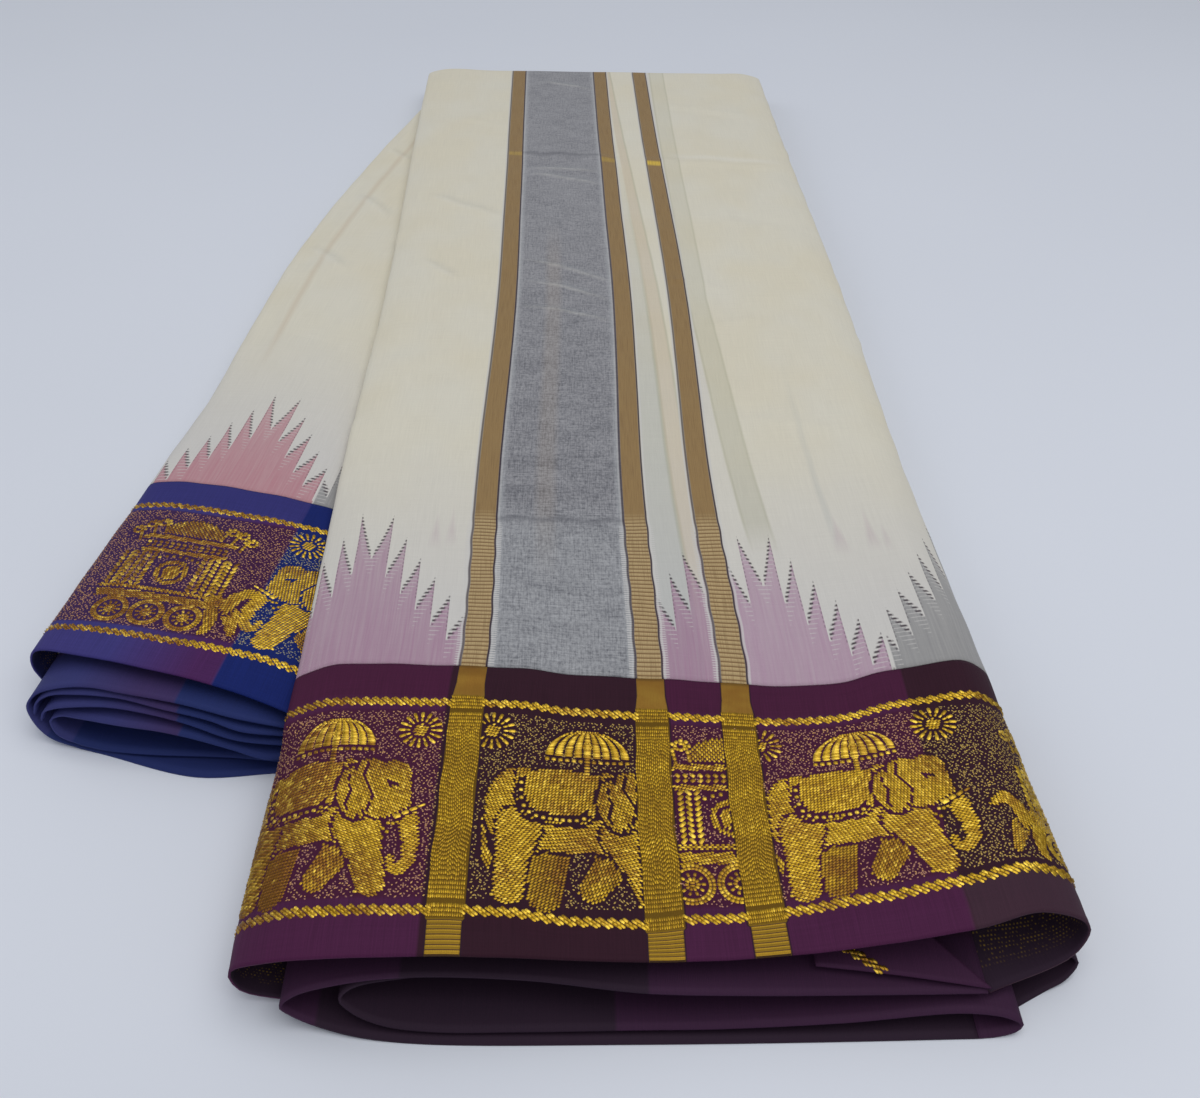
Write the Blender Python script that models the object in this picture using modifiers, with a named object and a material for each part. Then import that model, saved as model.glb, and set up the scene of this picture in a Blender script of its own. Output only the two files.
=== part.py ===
"""A folded dhoti cloth: cream cotton with a maroon border along one selvedge and a blue one along the other.

The cloth is woven 1.27 m wide and 3.7 m long. It is folded along its length into a strip 0.232 m across, and
the strip is then turned back over itself, so the half with the maroon border lies on the half with the blue
one and fans out from it by about nine degrees. Each stretch of cloth that shows is one wall of its own. The
layers between them are one solid with grooved edges. Plan sizes are from the near left corner of the upper
half: x runs across the strip, y runs along it, and z is the height above the table.
"""

import math
from collections import namedtuple

import bmesh
import bpy
import numpy as np

MM = 0.001  # every size below is in millimetres

STRIP = 232.0  # width of the folded strip
BORDER = 104.0  # width of each coloured border, hem to seam
WALL = 1.1  # thickness of a cloth wall
GAP = 0.3  # space between two pieces that meet
LAID = 0.5  # space under a stretch that lies on the hidden layers
FOLD_DEPTH = 20.0  # how far the loose folds run in from the hem
NEST = 0.4  # space behind the loose folds
HIDDEN_END = 25.0  # how far the lower layers run on inside the upper ones
FOOT_PAST = 0.2  # how far the flat underside runs past the turn's axis
NOSE_INSET = 8.0  # how far in the layers' sides stand inside the turn
UNDER_SIDE = 3.2  # how far the lower half's sheet runs in under the upper half's side
LIP_ROOM = 2.2  # how far the hidden layers stay inside and above a lip
LIP_UNDER = 1.0  # how far under it they come out again
GROOVE = 3.0  # depth of the grooves between the layers that show at the sides
FOOT_GROOVE = 0.8  # how far the lowest layer draws in at the table
GROOVE_SHARE = 0.3  # share of a layer's height that is given to the groove, at its top and at its foot

TURN_AT = 698.5  # where the strip begins to turn back, along its left side
TURN_RADIUS = 11.45  # outer radius of that turn
TURN_END = 172.0  # degrees through which the outer layer shows
TURN_STEPS = 8  # flats in that turn
NOSE_PAST = (3.2, 5.8, 7.9, 9.2, 9.7)  # how far past the turn's axis the hidden layers' end is cut in flats
PLAN_CENTRE = (70.85, 348.19)  # middle of the whole footprint, which is put at the origin

REACH_ROUNDS = 4  # rounds that settle how far the lower strip reaches under the upper half's side

# Where the left side of the upper half runs, and how its crosswise direction leans.
Way = namedtuple("Way", "run x y lean")
UPPER_WAY = (
    Way(0, 0.0, 0.0, 0.0),
    Way(30, 0.2, 30.4, -0.1),
    Way(104, 1.0, 106.0, -1.0),
    Way(240, -1.0, 243.0, -1.4),
    Way(366, 0.0, 367.0, -1.8),
    Way(590, -4.0, 590.0, -3.0),
    Way(TURN_AT, -5.0, TURN_AT, -3.8),
)
LOWER_WAY = (
    Way(0, -93.0, 120.6, -16.5),
    Way(104, -77.5, 220.0, -13.7),
    Way(160, -72.5, 275.0, -12.0),
    Way(330, -56.0, 443.0, -9.0),
    Way(480, -24.0, 590.0, -6.0),
    Way(575, 1.0, 683.0, -3.8),
)

# Heights of the upper half's top sheet, and how far its side folds reach out, in and down.
Top = namedtuple(
    "Top", "run left arch sag rise right out_left in_left lip_left out_right in_right lip_right"
)
UPPER_TOP = (
    Top(0, 24.0, 28.0, 22.3, 29.5, 30.5, 5.0, 8.0, 2.4, 7.5, 21.0, 9.6),
    Top(20, 25.5, 28.0, 22.4, 29.2, 30.3, 4.6, 7.5, 2.6, 6.5, 7.0, 10.6),
    Top(60, 27.5, 28.2, 22.9, 28.8, 30.0, 4.0, 6.0, 3.6, 4.5, 5.5, 11.0),
    Top(78, 28.5, 28.5, 23.2, 28.4, 30.0, 3.0, 4.0, 9.0, 3.6, 5.0, 11.4),
    Top(86, 29.0, 28.7, 23.4, 28.2, 30.0, 2.4, 2.5, 20.8, 3.2, 5.0, 11.6),
    Top(104, 29.6, 28.8, 23.8, 27.8, 30.0, 2.0, 2.0, 20.8, 2.6, 5.0, 12.0),
    Top(160, 27.6, 26.8, 23.5, 26.0, 27.0, 2.0, 2.0, 19.8, 2.4, 5.0, 11.6),
    Top(240, 25.2, 25.0, 23.0, 24.2, 24.6, 2.0, 2.0, 17.2, 2.4, 5.0, 11.4),
    Top(366, 24.0, 24.0, 22.6, 22.6, 22.6, 2.0, 2.0, 15.8, 2.4, 5.0, 12.6),
    Top(590, 22.8, 22.9, 22.6, 22.5, 22.5, 2.0, 2.0, 15.2, 2.4, 4.0, 14.6),
    Top(TURN_AT, 22.9, 22.9, 22.9, 22.9, 22.9, 2.0, 2.0, 15.4, 2.4, 3.0, 15.4),
)
# Where along that section its points stand: across the strip on top, and up the height of each side fold.
UPPER_ACROSS = dict(left=8.0, arch=45.0, sag=134.0, rise=203.0, right=STRIP - 9.0)
LEFT_FOLD_UP = dict(low=0.22, bulge=0.55)
RIGHT_FOLD_UP = dict(low=0.10, bulge=0.48)
LOW_OUT = dict(left=0.55, right=0.6)  # how far out the low point stands, as a share of the bulge
# The same for the lower half, whose right end runs in under the upper half's left fold.
Low = namedtuple("Low", "run left arch sag out_left in_left lip_left")
LOWER_TOP = (
    Low(0, 26.0, 28.4, 28.4, 5.0, 4.0, 14.6),
    Low(30, 26.0, 28.4, 28.0, 4.5, 3.5, 13.8),
    Low(104, 25.0, 27.0, 26.4, 3.0, 2.5, 12.6),
    Low(160, 19.0, 21.5, 21.6, 2.4, 2.5, 10.4),
    Low(230, 16.4, 17.4, 17.4, 2.2, 2.5, 9.0),
    Low(330, 15.2, 15.6, 15.4, 2.0, 2.5, 8.4),
    Low(480, 14.2, 14.4, 14.0, 2.0, 2.5, 8.0),
    Low(575, 13.6, 13.6, 13.4, 2.0, 2.5, 8.0),
)
# Shares of the lower strip's width where its top has its points, and of its left fold's height for the bulge.
LOWER_ACROSS = dict(arch=0.16, sag=0.62, dip=0.86)
LOWER_FOLD_UP = 0.38
LOWER_FOLD_TOP = (0.3, 0.8)  # the fold's shoulder: a share of the bulge out, and so far below the top
LIP_DROP = 0.8  # the lower sheet's end stands this much below the upper half's lip
# How far the layers under a side fold reach out from the strip's edge, from the highest to the lowest.
Edge = namedtuple("Edge", "run high middle low")
UPPER_EDGE = (
    Edge(0, 6.6, 3.0, -13.0),
    Edge(60, 5.0, 3.4, -6.0),
    Edge(160, 2.6, 3.6, 1.6),
    Edge(366, 1.6, 3.2, 2.2),
    Edge(TURN_AT, 1.2, 2.6, 1.8),
)
LOWER_EDGE = (
    Edge(0, 2.4, 2.0, -3.0),
    Edge(104, 1.8, 2.4, 1.2),
    Edge(330, 1.4, 2.2, 1.6),
    Edge(575, 1.0, 1.6, 1.2),
)
# Where the sheets' sections stand along the strip, and into how many flats each bend between them is cut.
UPPER_HEM_RUNS = (0, 6, 13, FOLD_DEPTH + NEST, 40, 60, 72, 78, 82, 86, 94)
UPPER_BODY_RUNS = (116, 132, 160, 196, 240, 300, 366, 440, 515, 590, 650, TURN_AT)
LOWER_HEM_RUNS = (0, 10, FOLD_DEPTH + 1.6, 36, 52, 70, 88)
LOWER_BODY_RUNS = (118, 134, 160, 190, 230, 280, 330, 380, 430, 480, 520, 550)
UPPER_PIECES = (2, 2, 4, 3, 4, 4, 2, 4, 2, 2)
LOWER_PIECES = (3, 3, 3, 3, 2, 2)
# How far each point of the upper hem stands back from its straight line, fading out along the border.
HEM_BACK = dict(lip_left=2.0, low_left=3.0, bulge_left=4.0, left=1.0, arch=0.0, sag=0.0, rise=3.5,
                right=8.0, bulge_right=9.0, low_right=6.0, lip_right=-4.5)
HEM_FADE = 60.0

# The loose folds at each hem, as one strip each: x across, z height, back from the hem's straight line.
Bend = namedtuple("Bend", "x z back")
MAROON_FOLDS = dict(
    border_maroon_fold_2=(
        Bend(208, 10.6, -5.2), Bend(180, 12.2, -5.8), Bend(140, 13.4, -5.8), Bend(112, 14.4, -5.0),
        Bend(78, 15.6, -1.0), Bend(45, 16.2, 0.2), Bend(27, 15.6, -1.2), Bend(14.5, 13.4, -3.2),
        Bend(10.6, 10.0, -4.4), Bend(13.0, 6.2, -4.8), Bend(20, 2.9, -6.4), Bend(32, 1.2, -9.0),
        Bend(50, 0.55, -11.0), Bend(110, 0.55, -12.5), Bend(160, 0.55, -13.0), Bend(205, 0.55, -13.0),
    ),
    border_maroon_fold_3=(
        Bend(205.6, 0.55, -12.9), Bend(211, 0.8, -12.7), Bend(216, 2.0, -12.0), Bend(217.4, 4.0, -11.4),
        Bend(214, 6.0, -10.4), Bend(203, 6.9, -9.0), Bend(167, 4.6, -9.8), Bend(133, 3.2, -10.0),
        Bend(110, 2.8, -9.6), Bend(78, 2.4, -9.2), Bend(52, 2.5, -8.6), Bend(38, 3.8, -7.0),
        Bend(30, 6.6, -4.6), Bend(26.8, 10.0, -2.6), Bend(30, 12.8, -1.0), Bend(42, 13.9, 1.0),
        Bend(80, 13.4, 2.5), Bend(104, 12.4, 3.0),
    ),
    border_maroon_fold_4=(
        Bend(220.5, 0.55, -3.2), Bend(228, 0.9, 0.4), Bend(235, 2.2, 3.4), Bend(238.6, 4.6, 6.6),
        Bend(236.5, 7.0, 7.6), Bend(229, 8.0, 8.0), Bend(221, 8.2, 8.0),
    ),
)
BLUE_FOLDS = dict(
    border_blue_fold_2=(
        Bend(-0.8, 16.0, -1.6), Bend(-18, 20.6, -6.0), Bend(-39, 22.6, -6.6), Bend(-59.5, 23.2, -8.0),
        Bend(-71, 23.2, -8.6), Bend(-83, 21.6, -11.0), Bend(-91.6, 17.6, -13.0), Bend(-95.2, 12.6, -15.0),
        Bend(-93.4, 7.6, -17.0), Bend(-88.6, 3.6, -18.6), Bend(-80, 1.4, -18.4), Bend(-70, 0.55, -18.2),
        Bend(-35, 0.55, -18.6), Bend(-9.6, 0.55, -10.0), Bend(-0.8, 0.55, -7.0),
    ),
    border_blue_fold_3=(
        Bend(-0.8, 13.2, -2.4), Bend(-18, 17.4, -8.4), Bend(-29, 19.0, -8.0), Bend(-46, 20.2, -8.6),
        Bend(-61, 20.8, -8.6), Bend(-77, 20.4, -11.0), Bend(-86.6, 18.4, -12.6), Bend(-91.6, 14.6, -14.4),
        Bend(-92.6, 11.0, -16.0),
    ),
    border_blue_fold_4=(
        Bend(-0.8, 10.2, -4.0), Bend(-20, 13.4, -9.4), Bend(-37, 16.4, -9.6), Bend(-47, 17.4, -9.8),
        Bend(-64, 17.8, -11.0), Bend(-77, 17.4, -14.0), Bend(-84.6, 15.8, -15.6), Bend(-88.8, 12.8, -16.0),
        Bend(-90.0, 9.8, -17.0),
    ),
    border_blue_fold_5=(
        Bend(-0.8, 6.6, -5.4), Bend(-10, 7.4, -10.0), Bend(-21.5, 9.8, -11.0), Bend(-34.5, 12.8, -12.4),
        Bend(-46, 13.5, -13.0), Bend(-60, 13.8, -14.6), Bend(-76, 13.5, -15.4), Bend(-83, 12.4, -15.4),
        Bend(-87.0, 9.4, -16.4), Bend(-85.2, 6.0, -18.2), Bend(-80, 3.7, -18.4), Bend(-70, 2.5, -18.0),
        Bend(-56, 2.3, -16.0), Bend(-22, 2.4, -8.4), Bend(-0.8, 2.4, -5.0),
    ),
)
BLUE_HEM_SLOPE = -0.30  # the lower hem line falls this much towards the right
BLUE_HEM_AT_ZERO = 92.6  # and passes here at x = 0
BLUE_INWARD = (0.155, 0.988)  # the direction in from the lower hem
CORNER = (  # the turned-up corner of a layer in the right fold: front tip, front left, back left, back right
    (209.0, -4.6, 12.2), (160.0, 1.0, 16.6), (160.0, 18.0, 17.2), (187.0, 18.0, 17.6)
)

CREAM = (0.60, 0.575, 0.48)
MAROON = (0.060, 0.012, 0.035)
BLUE = (0.020, 0.020, 0.115)


def clear_scene():
    for thing in list(bpy.data.objects):
        bpy.data.objects.remove(thing, do_unlink=True)


def cloth_material(name, colour, roughness):
    material = bpy.data.materials.new(name)
    material.use_nodes = True
    shader = material.node_tree.nodes["Principled BSDF"]
    shader.inputs["Base Color"].default_value = (*colour, 1.0)
    shader.inputs["Roughness"].default_value = roughness
    shader.inputs["Metallic"].default_value = 0.0
    return material


def through(knots, values, at, limited=True):
    """A smooth curve through values at the knots, read at each place in `at`: a cubic between each pair,
    whose slope at a knot is the mean of its neighbours' slopes, held flat at peaks where `limited`."""
    knots, values, at = (np.asarray(a, float) for a in (knots, values, at))
    step = np.diff(knots)
    rise = np.diff(values) / step
    slope = np.empty_like(values)
    slope[1:-1] = (rise[:-1] * step[1:] + rise[1:] * step[:-1]) / (step[:-1] + step[1:])
    if limited:
        peak = rise[:-1] * rise[1:] <= 0
        slope[1:-1][peak] = 0
        most = 2.5 * np.minimum(abs(rise[:-1]), abs(rise[1:]))
        slope[1:-1] = np.clip(slope[1:-1], -most, most)
    slope[0], slope[-1] = rise[0], rise[-1]
    k = np.clip(np.searchsorted(knots, at, side="right") - 1, 0, len(step) - 1)
    f = np.clip((at - knots[k]) / step[k], 0, 1)
    return (
        values[k] * (1 + 2 * f) * (1 - f) ** 2
        + values[k + 1] * f * f * (3 - 2 * f)
        + step[k] * f * (1 - f) * (slope[k] * (1 - f) - slope[k + 1] * f)
    )


def row_at(table, run):
    """The table's columns, each read as a smooth curve at this run."""
    knots = [row.run for row in table]
    columns = {
        name: float(through(knots, [getattr(row, name) for row in table], [run])[0])
        for name in table[0]._fields
    }
    return type(table[0])(**columns)


def curve_through(points, pieces):
    """A smooth curve through the points, cut into so many straight pieces between each two of them."""
    points = np.asarray(points, float)
    knots = np.r_[0, np.cumsum(np.linalg.norm(np.diff(points[:, :2], axis=0), axis=1) ** 0.6)]
    places = [np.linspace(knots[k], knots[k + 1], n, endpoint=False) for k, n in enumerate(pieces)]
    places = np.r_[np.concatenate(places), knots[-1]]
    return np.stack([through(knots, column, places, limited=False) for column in points.T], axis=1)


def on_strip(way, across, height, back=0.0):
    """World points at distances across a strip whose left side and lean are given by `way`."""
    lean = math.radians(way.lean)
    x = way.x + across * math.cos(lean)
    y = way.y + across * math.sin(lean) + back
    return np.stack([x, y, height + 0 * across], axis=1)


def upper_section(run):
    """The upper sheet's outline at this run, from the lip of its left fold over the top to its right lip:
    distance across, height, and how far it stands back from the hem line."""
    top = row_at(UPPER_TOP, run)
    left_up = {k: top.lip_left + up * (top.left - top.lip_left) for k, up in LEFT_FOLD_UP.items()}
    right_up = {k: top.lip_right + up * (top.right - top.lip_right) for k, up in RIGHT_FOLD_UP.items()}
    points = dict(
        lip_left=(top.in_left, top.lip_left),
        low_left=(-LOW_OUT["left"] * top.out_left, left_up["low"]),
        bulge_left=(-top.out_left, left_up["bulge"]),
    )
    points.update({name: (across, getattr(top, name)) for name, across in UPPER_ACROSS.items()})
    points.update(
        bulge_right=(STRIP + top.out_right, right_up["bulge"]),
        low_right=(STRIP + LOW_OUT["right"] * top.out_right, right_up["low"]),
        lip_right=(STRIP - top.in_right, top.lip_right),
    )
    fade = max(0.0, 1 - run / HEM_FADE) ** 2
    return [(*place, HEM_BACK[name] * fade) for name, place in points.items()]


def lower_section(run):
    """The lower sheet's outline at this run, from the lip of its left fold to its end under the upper half."""
    top = row_at(LOWER_TOP, run)
    way = row_at(LOWER_WAY, run)
    end, side_run = lower_reach(way, UNDER_SIDE)
    end_height = row_at(UPPER_TOP, side_run).lip_left - LIP_DROP
    shoulder_out, shoulder_down = LOWER_FOLD_TOP
    heights = dict(arch=top.arch, sag=top.sag, dip=0.5 * (top.sag + end_height))
    return [
        (top.in_left - top.out_left, top.lip_left, 0.0),
        (-top.out_left, top.lip_left + LOWER_FOLD_UP * (top.left - top.lip_left), 0.0),
        (-shoulder_out * top.out_left, top.left - shoulder_down, 0.0),
        *((share * end, heights[name], 0.0) for name, share in LOWER_ACROSS.items()),
        (end, end_height, 0.0),
    ]


def lower_reach(way, inset):
    """How far across the lower strip it is to `inset` inside the upper half's left side, and the run there."""
    lean = math.radians(way.lean)
    reach = -way.x
    for _ in range(REACH_ROUNDS):
        run = min(TURN_AT, way.y + reach * math.sin(lean))
        reach = (row_at(UPPER_WAY, run).x + inset - way.x) / math.cos(lean)
    return reach, run


def turned(points, degrees):
    """Points over the turn's axis, carried round it by an angle: up becomes outward along the strip."""
    way = UPPER_WAY[-1]
    lean, angle = math.radians(way.lean), math.radians(degrees)
    height = points[:, 2] - TURN_RADIUS
    out = height * math.sin(angle)
    x = points[:, 0] - out * math.sin(lean)
    y = points[:, 1] + out * math.cos(lean)
    z = np.maximum(TURN_RADIUS + height * math.cos(angle), 0.0)
    return np.stack([x, y, z], axis=1)


def put(name, mesh, material, collection):
    thing = bpy.data.objects.new(name, mesh)
    thing.data.materials.append(material)
    collection.objects.link(thing)
    return thing


def placed(points):
    """Millimetres from the near left corner, to metres from the middle of the footprint."""
    return (np.asarray(points, float) - (*PLAN_CENTRE, 0.0)) * MM


def sheet(name, rows, material, collection, offset):
    """A wall of cloth over a grid of points: rows run in from the hem, and each runs left to right."""
    grid = np.array(rows)
    deep, wide = grid.shape[:2]
    mesh = bpy.data.meshes.new(name)
    corner = np.arange(deep * wide).reshape(deep, wide)
    faces = np.stack([corner[:-1, :-1], corner[:-1, 1:], corner[1:, 1:], corner[1:, :-1]], axis=-1)
    mesh.from_pydata(placed(grid.reshape(-1, 3)).tolist(), [], faces.reshape(-1, 4).tolist())
    mesh.shade_smooth()
    thing = put(name, mesh, material, collection)
    wall = thing.modifiers.new("cloth wall", "SOLIDIFY")
    wall.thickness = WALL * MM
    wall.offset = offset
    wall.use_even_offset = True
    wall.use_quality_normals = True
    return thing


def loft(name, rings, material, collection):
    """A closed solid through rings that run left over the top to the right, with a flat cap at each end."""
    rings = np.array(rings)
    count, around = rings.shape[:2]
    mesh = bpy.data.meshes.new(name)
    bm = bmesh.new()
    verts = [[bm.verts.new(p) for p in ring] for ring in placed(rings.reshape(-1, 3)).reshape(rings.shape)]
    for near, far in zip(verts, verts[1:]):
        for k in range(around):
            bm.faces.new((near[k - 1], near[k], far[k], far[k - 1]))
    bm.faces.new(verts[0][::-1])
    bm.faces.new(verts[-1])
    bm.to_mesh(mesh)
    bm.free()
    return put(name, mesh, material, collection)


def upper_stretches(cream, maroon, collection):
    """The top of the upper half: its border as far as the seam, and its body round the turn at the far end."""
    rows = [upper_row(run) for run in (*UPPER_HEM_RUNS, BORDER - GAP / 2)]
    sheet("border_maroon_top", rows, maroon, collection, -1)
    rows = [upper_row(run) for run in (BORDER + GAP / 2, *UPPER_BODY_RUNS)]
    last = rows[-1]
    rows += [turned(last, angle) for angle in np.linspace(0, TURN_END, TURN_STEPS + 1)[1:]]
    sheet("body_upper", rows, cream, collection, -1)


def upper_row(run):
    curve = curve_through(upper_section(run), UPPER_PIECES)
    return on_strip(row_at(UPPER_WAY, run), curve[:, 0], curve[:, 1], curve[:, 2])


def lower_row(run):
    curve = curve_through(lower_section(run), LOWER_PIECES)
    return on_strip(row_at(LOWER_WAY, run), curve[:, 0], curve[:, 1])


def lower_stretches(cream, blue, collection):
    """The part of the lower half that shows: its border, and its body up to where the upper half hides it."""
    rows = [lower_row(run) for run in (*LOWER_HEM_RUNS, BORDER - GAP / 2)]
    sheet("border_blue_top", rows, blue, collection, -1)
    rows = [lower_row(run) for run in (BORDER + GAP / 2, *LOWER_BODY_RUNS)]
    sheet("body_lower", rows, cream, collection, -1)


def loose_folds(folds, line, inward, material, collection):
    """The folds that gape below a hem. `line` is the hem's slope and its y at x = 0."""
    slope, start = line
    for name, bends in folds.items():
        curve = curve_through(bends, [2] * (len(bends) - 1))
        curve[:, 1] = np.maximum(curve[:, 1], WALL / 2)
        front = np.stack([curve[:, 0], start + slope * curve[:, 0] + curve[:, 2], curve[:, 1]], axis=1)
        back = front.copy()
        depth = FOLD_DEPTH - curve[:, 2]
        back[:, 0] += inward[0] * depth
        back[:, 1] += inward[1] * depth
        middle = 0.5 * (front + back)
        sheet(name, [front, middle, back], material, collection, 0)


def turned_corner(maroon, collection):
    """The corner of one layer, turned up inside the right fold."""
    tip, front_left, back_left, back_right = (np.array(p) for p in CORNER)
    rows = []
    for f in np.linspace(0, 1, 5):
        left, right = front_left + (back_left - front_left) * f, tip + (back_right - tip) * f
        across = np.linspace(0, 1, 6)[:, None]
        arch = 0.8 * np.sin(math.pi * across) * (0, 0, 1)
        rows.append(left + (right - left) * across + arch)
    sheet("border_maroon_corner", rows, maroon, collection, 0)


def moved_in(curve, distance):
    """An outline that runs left over the top to the right, moved in by a distance at right angles to itself."""
    along = np.gradient(curve[:, :2], axis=0)
    along /= np.linalg.norm(along, axis=1)[:, None]
    moved = curve.copy()
    moved[:, 0] += along[:, 1] * distance
    moved[:, 1] -= along[:, 0] * distance
    return moved


def layered_side(edge, lip):
    """The side of the layers below a fold's lip, from the lip down to the table: how far out, and height."""
    outs = (edge.high, edge.middle, edge.low)
    top, step = lip - LIP_UNDER, (lip - LIP_UNDER) / len(outs)
    side = [(edge.high - GROOVE, top)]
    for k, out in enumerate(outs):
        high, low = top - k * step, top - (k + 1) * step
        side += [(out, high - GROOVE_SHARE * step), (out, low + GROOVE_SHARE * step)]
        if k + 1 < len(outs):
            side.append((min(out, outs[k + 1]) - GROOVE, low))
    return side + [(outs[-1] - FOOT_GROOVE, 0.0)]


def upper_layers(run):
    """One ring of the layers inside the upper half: left side, top and right side."""
    top, edge = row_at(UPPER_TOP, run), row_at(UPPER_EDGE, run)
    inner = moved_in(curve_through(upper_section(run), UPPER_PIECES), WALL + LAID)
    inner = inner[sum(UPPER_PIECES[:2]) : 1 - sum(UPPER_PIECES[-2:]), :2]
    lip = STRIP - top.in_right - LIP_ROOM
    left_lip = top.in_left + LIP_ROOM
    left = [(left_lip, 0.0), (left_lip, top.lip_left + LIP_ROOM)]
    right = [(lip, top.lip_right + LIP_ROOM), (lip, top.lip_right - LIP_UNDER)]
    right += [(STRIP + out, height) for out, height in layered_side(edge, top.lip_right)]
    across, height = np.array([*left, *inner, *right]).T
    return on_strip(row_at(UPPER_WAY, run), across, height)


def lower_layers(run):
    """One ring of the layers inside the lower half, whose right end is hidden in the upper half's."""
    top, edge = row_at(LOWER_TOP, run), row_at(LOWER_EDGE, run)
    way = row_at(LOWER_WAY, run)
    inner = moved_in(curve_through(lower_section(run), LOWER_PIECES), WALL + LAID)
    inner = inner[LOWER_PIECES[0] :, :2]
    left = [(-out, height) for out, height in layered_side(edge, top.lip_left)][::-1]
    left.append((top.in_left, top.lip_left + LIP_ROOM))
    end = lower_reach(way, UNDER_SIDE)[0] + HIDDEN_END
    right = [(end, inner[-1, 1]), (end, 0.0)]
    across, height = np.array([*left, *inner, *right]).T
    return on_strip(way, across, height)


def nose(ring, past):
    """A ring of the layers drawn on past the turn's axis: its height closes in on the turn as it goes."""
    radius = TURN_RADIUS - WALL - LAID
    half = math.sqrt(radius**2 - past**2)
    end = ring.copy()
    end[:, 2] = TURN_RADIUS + np.clip((ring[:, 2] - TURN_RADIUS) * half / radius, -half, half)
    return moved_on(end, past)


def moved_on(ring, past):
    lean = math.radians(UPPER_WAY[-1].lean)
    return ring + (-past * math.sin(lean), past * math.cos(lean), 0.0)


def narrowed(ring, inset):
    """The ring with its sides moved in, to stand clear of the turned side folds."""
    way = UPPER_WAY[-1]
    lean = math.radians(way.lean)
    across = np.clip((ring[:, 0] - way.x) / math.cos(lean), inset, STRIP - inset)
    return on_strip(way, across, ring[:, 2])


def hidden_layers(cream, collection, helpers):
    """All the layers that don't show, as one solid: the upper half's, joined to the lower half's."""
    runs = [run for run in UPPER_HEM_RUNS if run > FOLD_DEPTH]
    rings = [upper_layers(run) for run in (*runs, BORDER, *UPPER_BODY_RUNS)]
    last = rings[-1]
    rings.append(moved_on(last, FOOT_PAST))
    rings += [nose(narrowed(last, NOSE_INSET), past) for past in (2 * FOOT_PAST, *NOSE_PAST)]
    layers = loft("hidden_layers", rings, cream, collection)
    runs = [run for run in LOWER_HEM_RUNS if run > FOLD_DEPTH]
    rings = [lower_layers(run) for run in (*runs, BORDER, *LOWER_BODY_RUNS, LOWER_WAY[-1].run - UNDER_SIDE)]
    under = loft("lower_layers", rings, cream, helpers)
    under.hide_render = True
    under.display_type = "WIRE"
    join = layers.modifiers.new("lower half's layers", "BOOLEAN")
    join.operation = "UNION"
    join.solver = "MANIFOLD"  # both undersides lie in one plane, which the exact solver doesn't join
    join.object = under


def build():
    clear_scene()
    collection = bpy.data.collections.new("dhoti_cloth")
    helpers = bpy.data.collections.new("joined_in")
    for each in (collection, helpers):
        bpy.context.scene.collection.children.link(each)
    cream = cloth_material("cream cotton", CREAM, 0.85)
    maroon = cloth_material("maroon border", MAROON, 0.7)
    blue = cloth_material("blue border", BLUE, 0.7)
    upper_stretches(cream, maroon, collection)
    lower_stretches(cream, blue, collection)
    loose_folds(MAROON_FOLDS, (0.0, 0.0), (0.0, 1.0), maroon, collection)
    loose_folds(BLUE_FOLDS, (BLUE_HEM_SLOPE, BLUE_HEM_AT_ZERO), BLUE_INWARD, blue, collection)
    turned_corner(maroon, collection)
    hidden_layers(cream, collection, helpers)


build()
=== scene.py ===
"""Looks of a folded dhoti cloth: cream cotton with gold stripes, and a brocade border along each selvedge.

The cloth is folded along its length into a strip, and the strip is turned back over itself, so that the half
with the maroon border lies on the half with the blue one. Every sheet is a grid of points read from the same
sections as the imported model. Its UV map holds the place on the cloth in metres: u across the folded strip,
v in from the hem, and the woven patterns are worked out from these two. Sizes without a unit are millimetres,
and places in plan are measured from the near left corner of the upper half.
"""

import math
from collections import namedtuple

import bpy
import numpy as np
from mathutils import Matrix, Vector


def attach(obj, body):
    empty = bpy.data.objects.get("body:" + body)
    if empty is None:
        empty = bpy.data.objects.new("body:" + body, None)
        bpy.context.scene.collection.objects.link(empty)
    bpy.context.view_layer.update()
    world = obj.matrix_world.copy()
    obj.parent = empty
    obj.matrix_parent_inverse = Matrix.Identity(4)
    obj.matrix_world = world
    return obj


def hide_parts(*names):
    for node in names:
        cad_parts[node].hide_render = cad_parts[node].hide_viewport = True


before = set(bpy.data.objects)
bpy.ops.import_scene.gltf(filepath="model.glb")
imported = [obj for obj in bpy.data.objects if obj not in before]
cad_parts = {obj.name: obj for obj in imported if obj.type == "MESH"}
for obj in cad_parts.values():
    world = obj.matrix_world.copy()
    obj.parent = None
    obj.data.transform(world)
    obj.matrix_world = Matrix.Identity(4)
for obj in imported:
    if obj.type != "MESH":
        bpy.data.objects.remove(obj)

bl_info = {
    "name": "Folded dhoti cloth",
    "version": (1, 0, 0),
    "blender": (4, 5, 0),
    "location": "View3D > Sidebar > Dhoti",
    "description": "Builds a folded dhoti with woven stripes, temple spikes and gold brocade borders",
    "category": "Add Mesh",
}

MM = 0.001
PLAN_CENTRE = (70.85, 348.19)  # middle of the whole footprint, which is put at the origin

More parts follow.
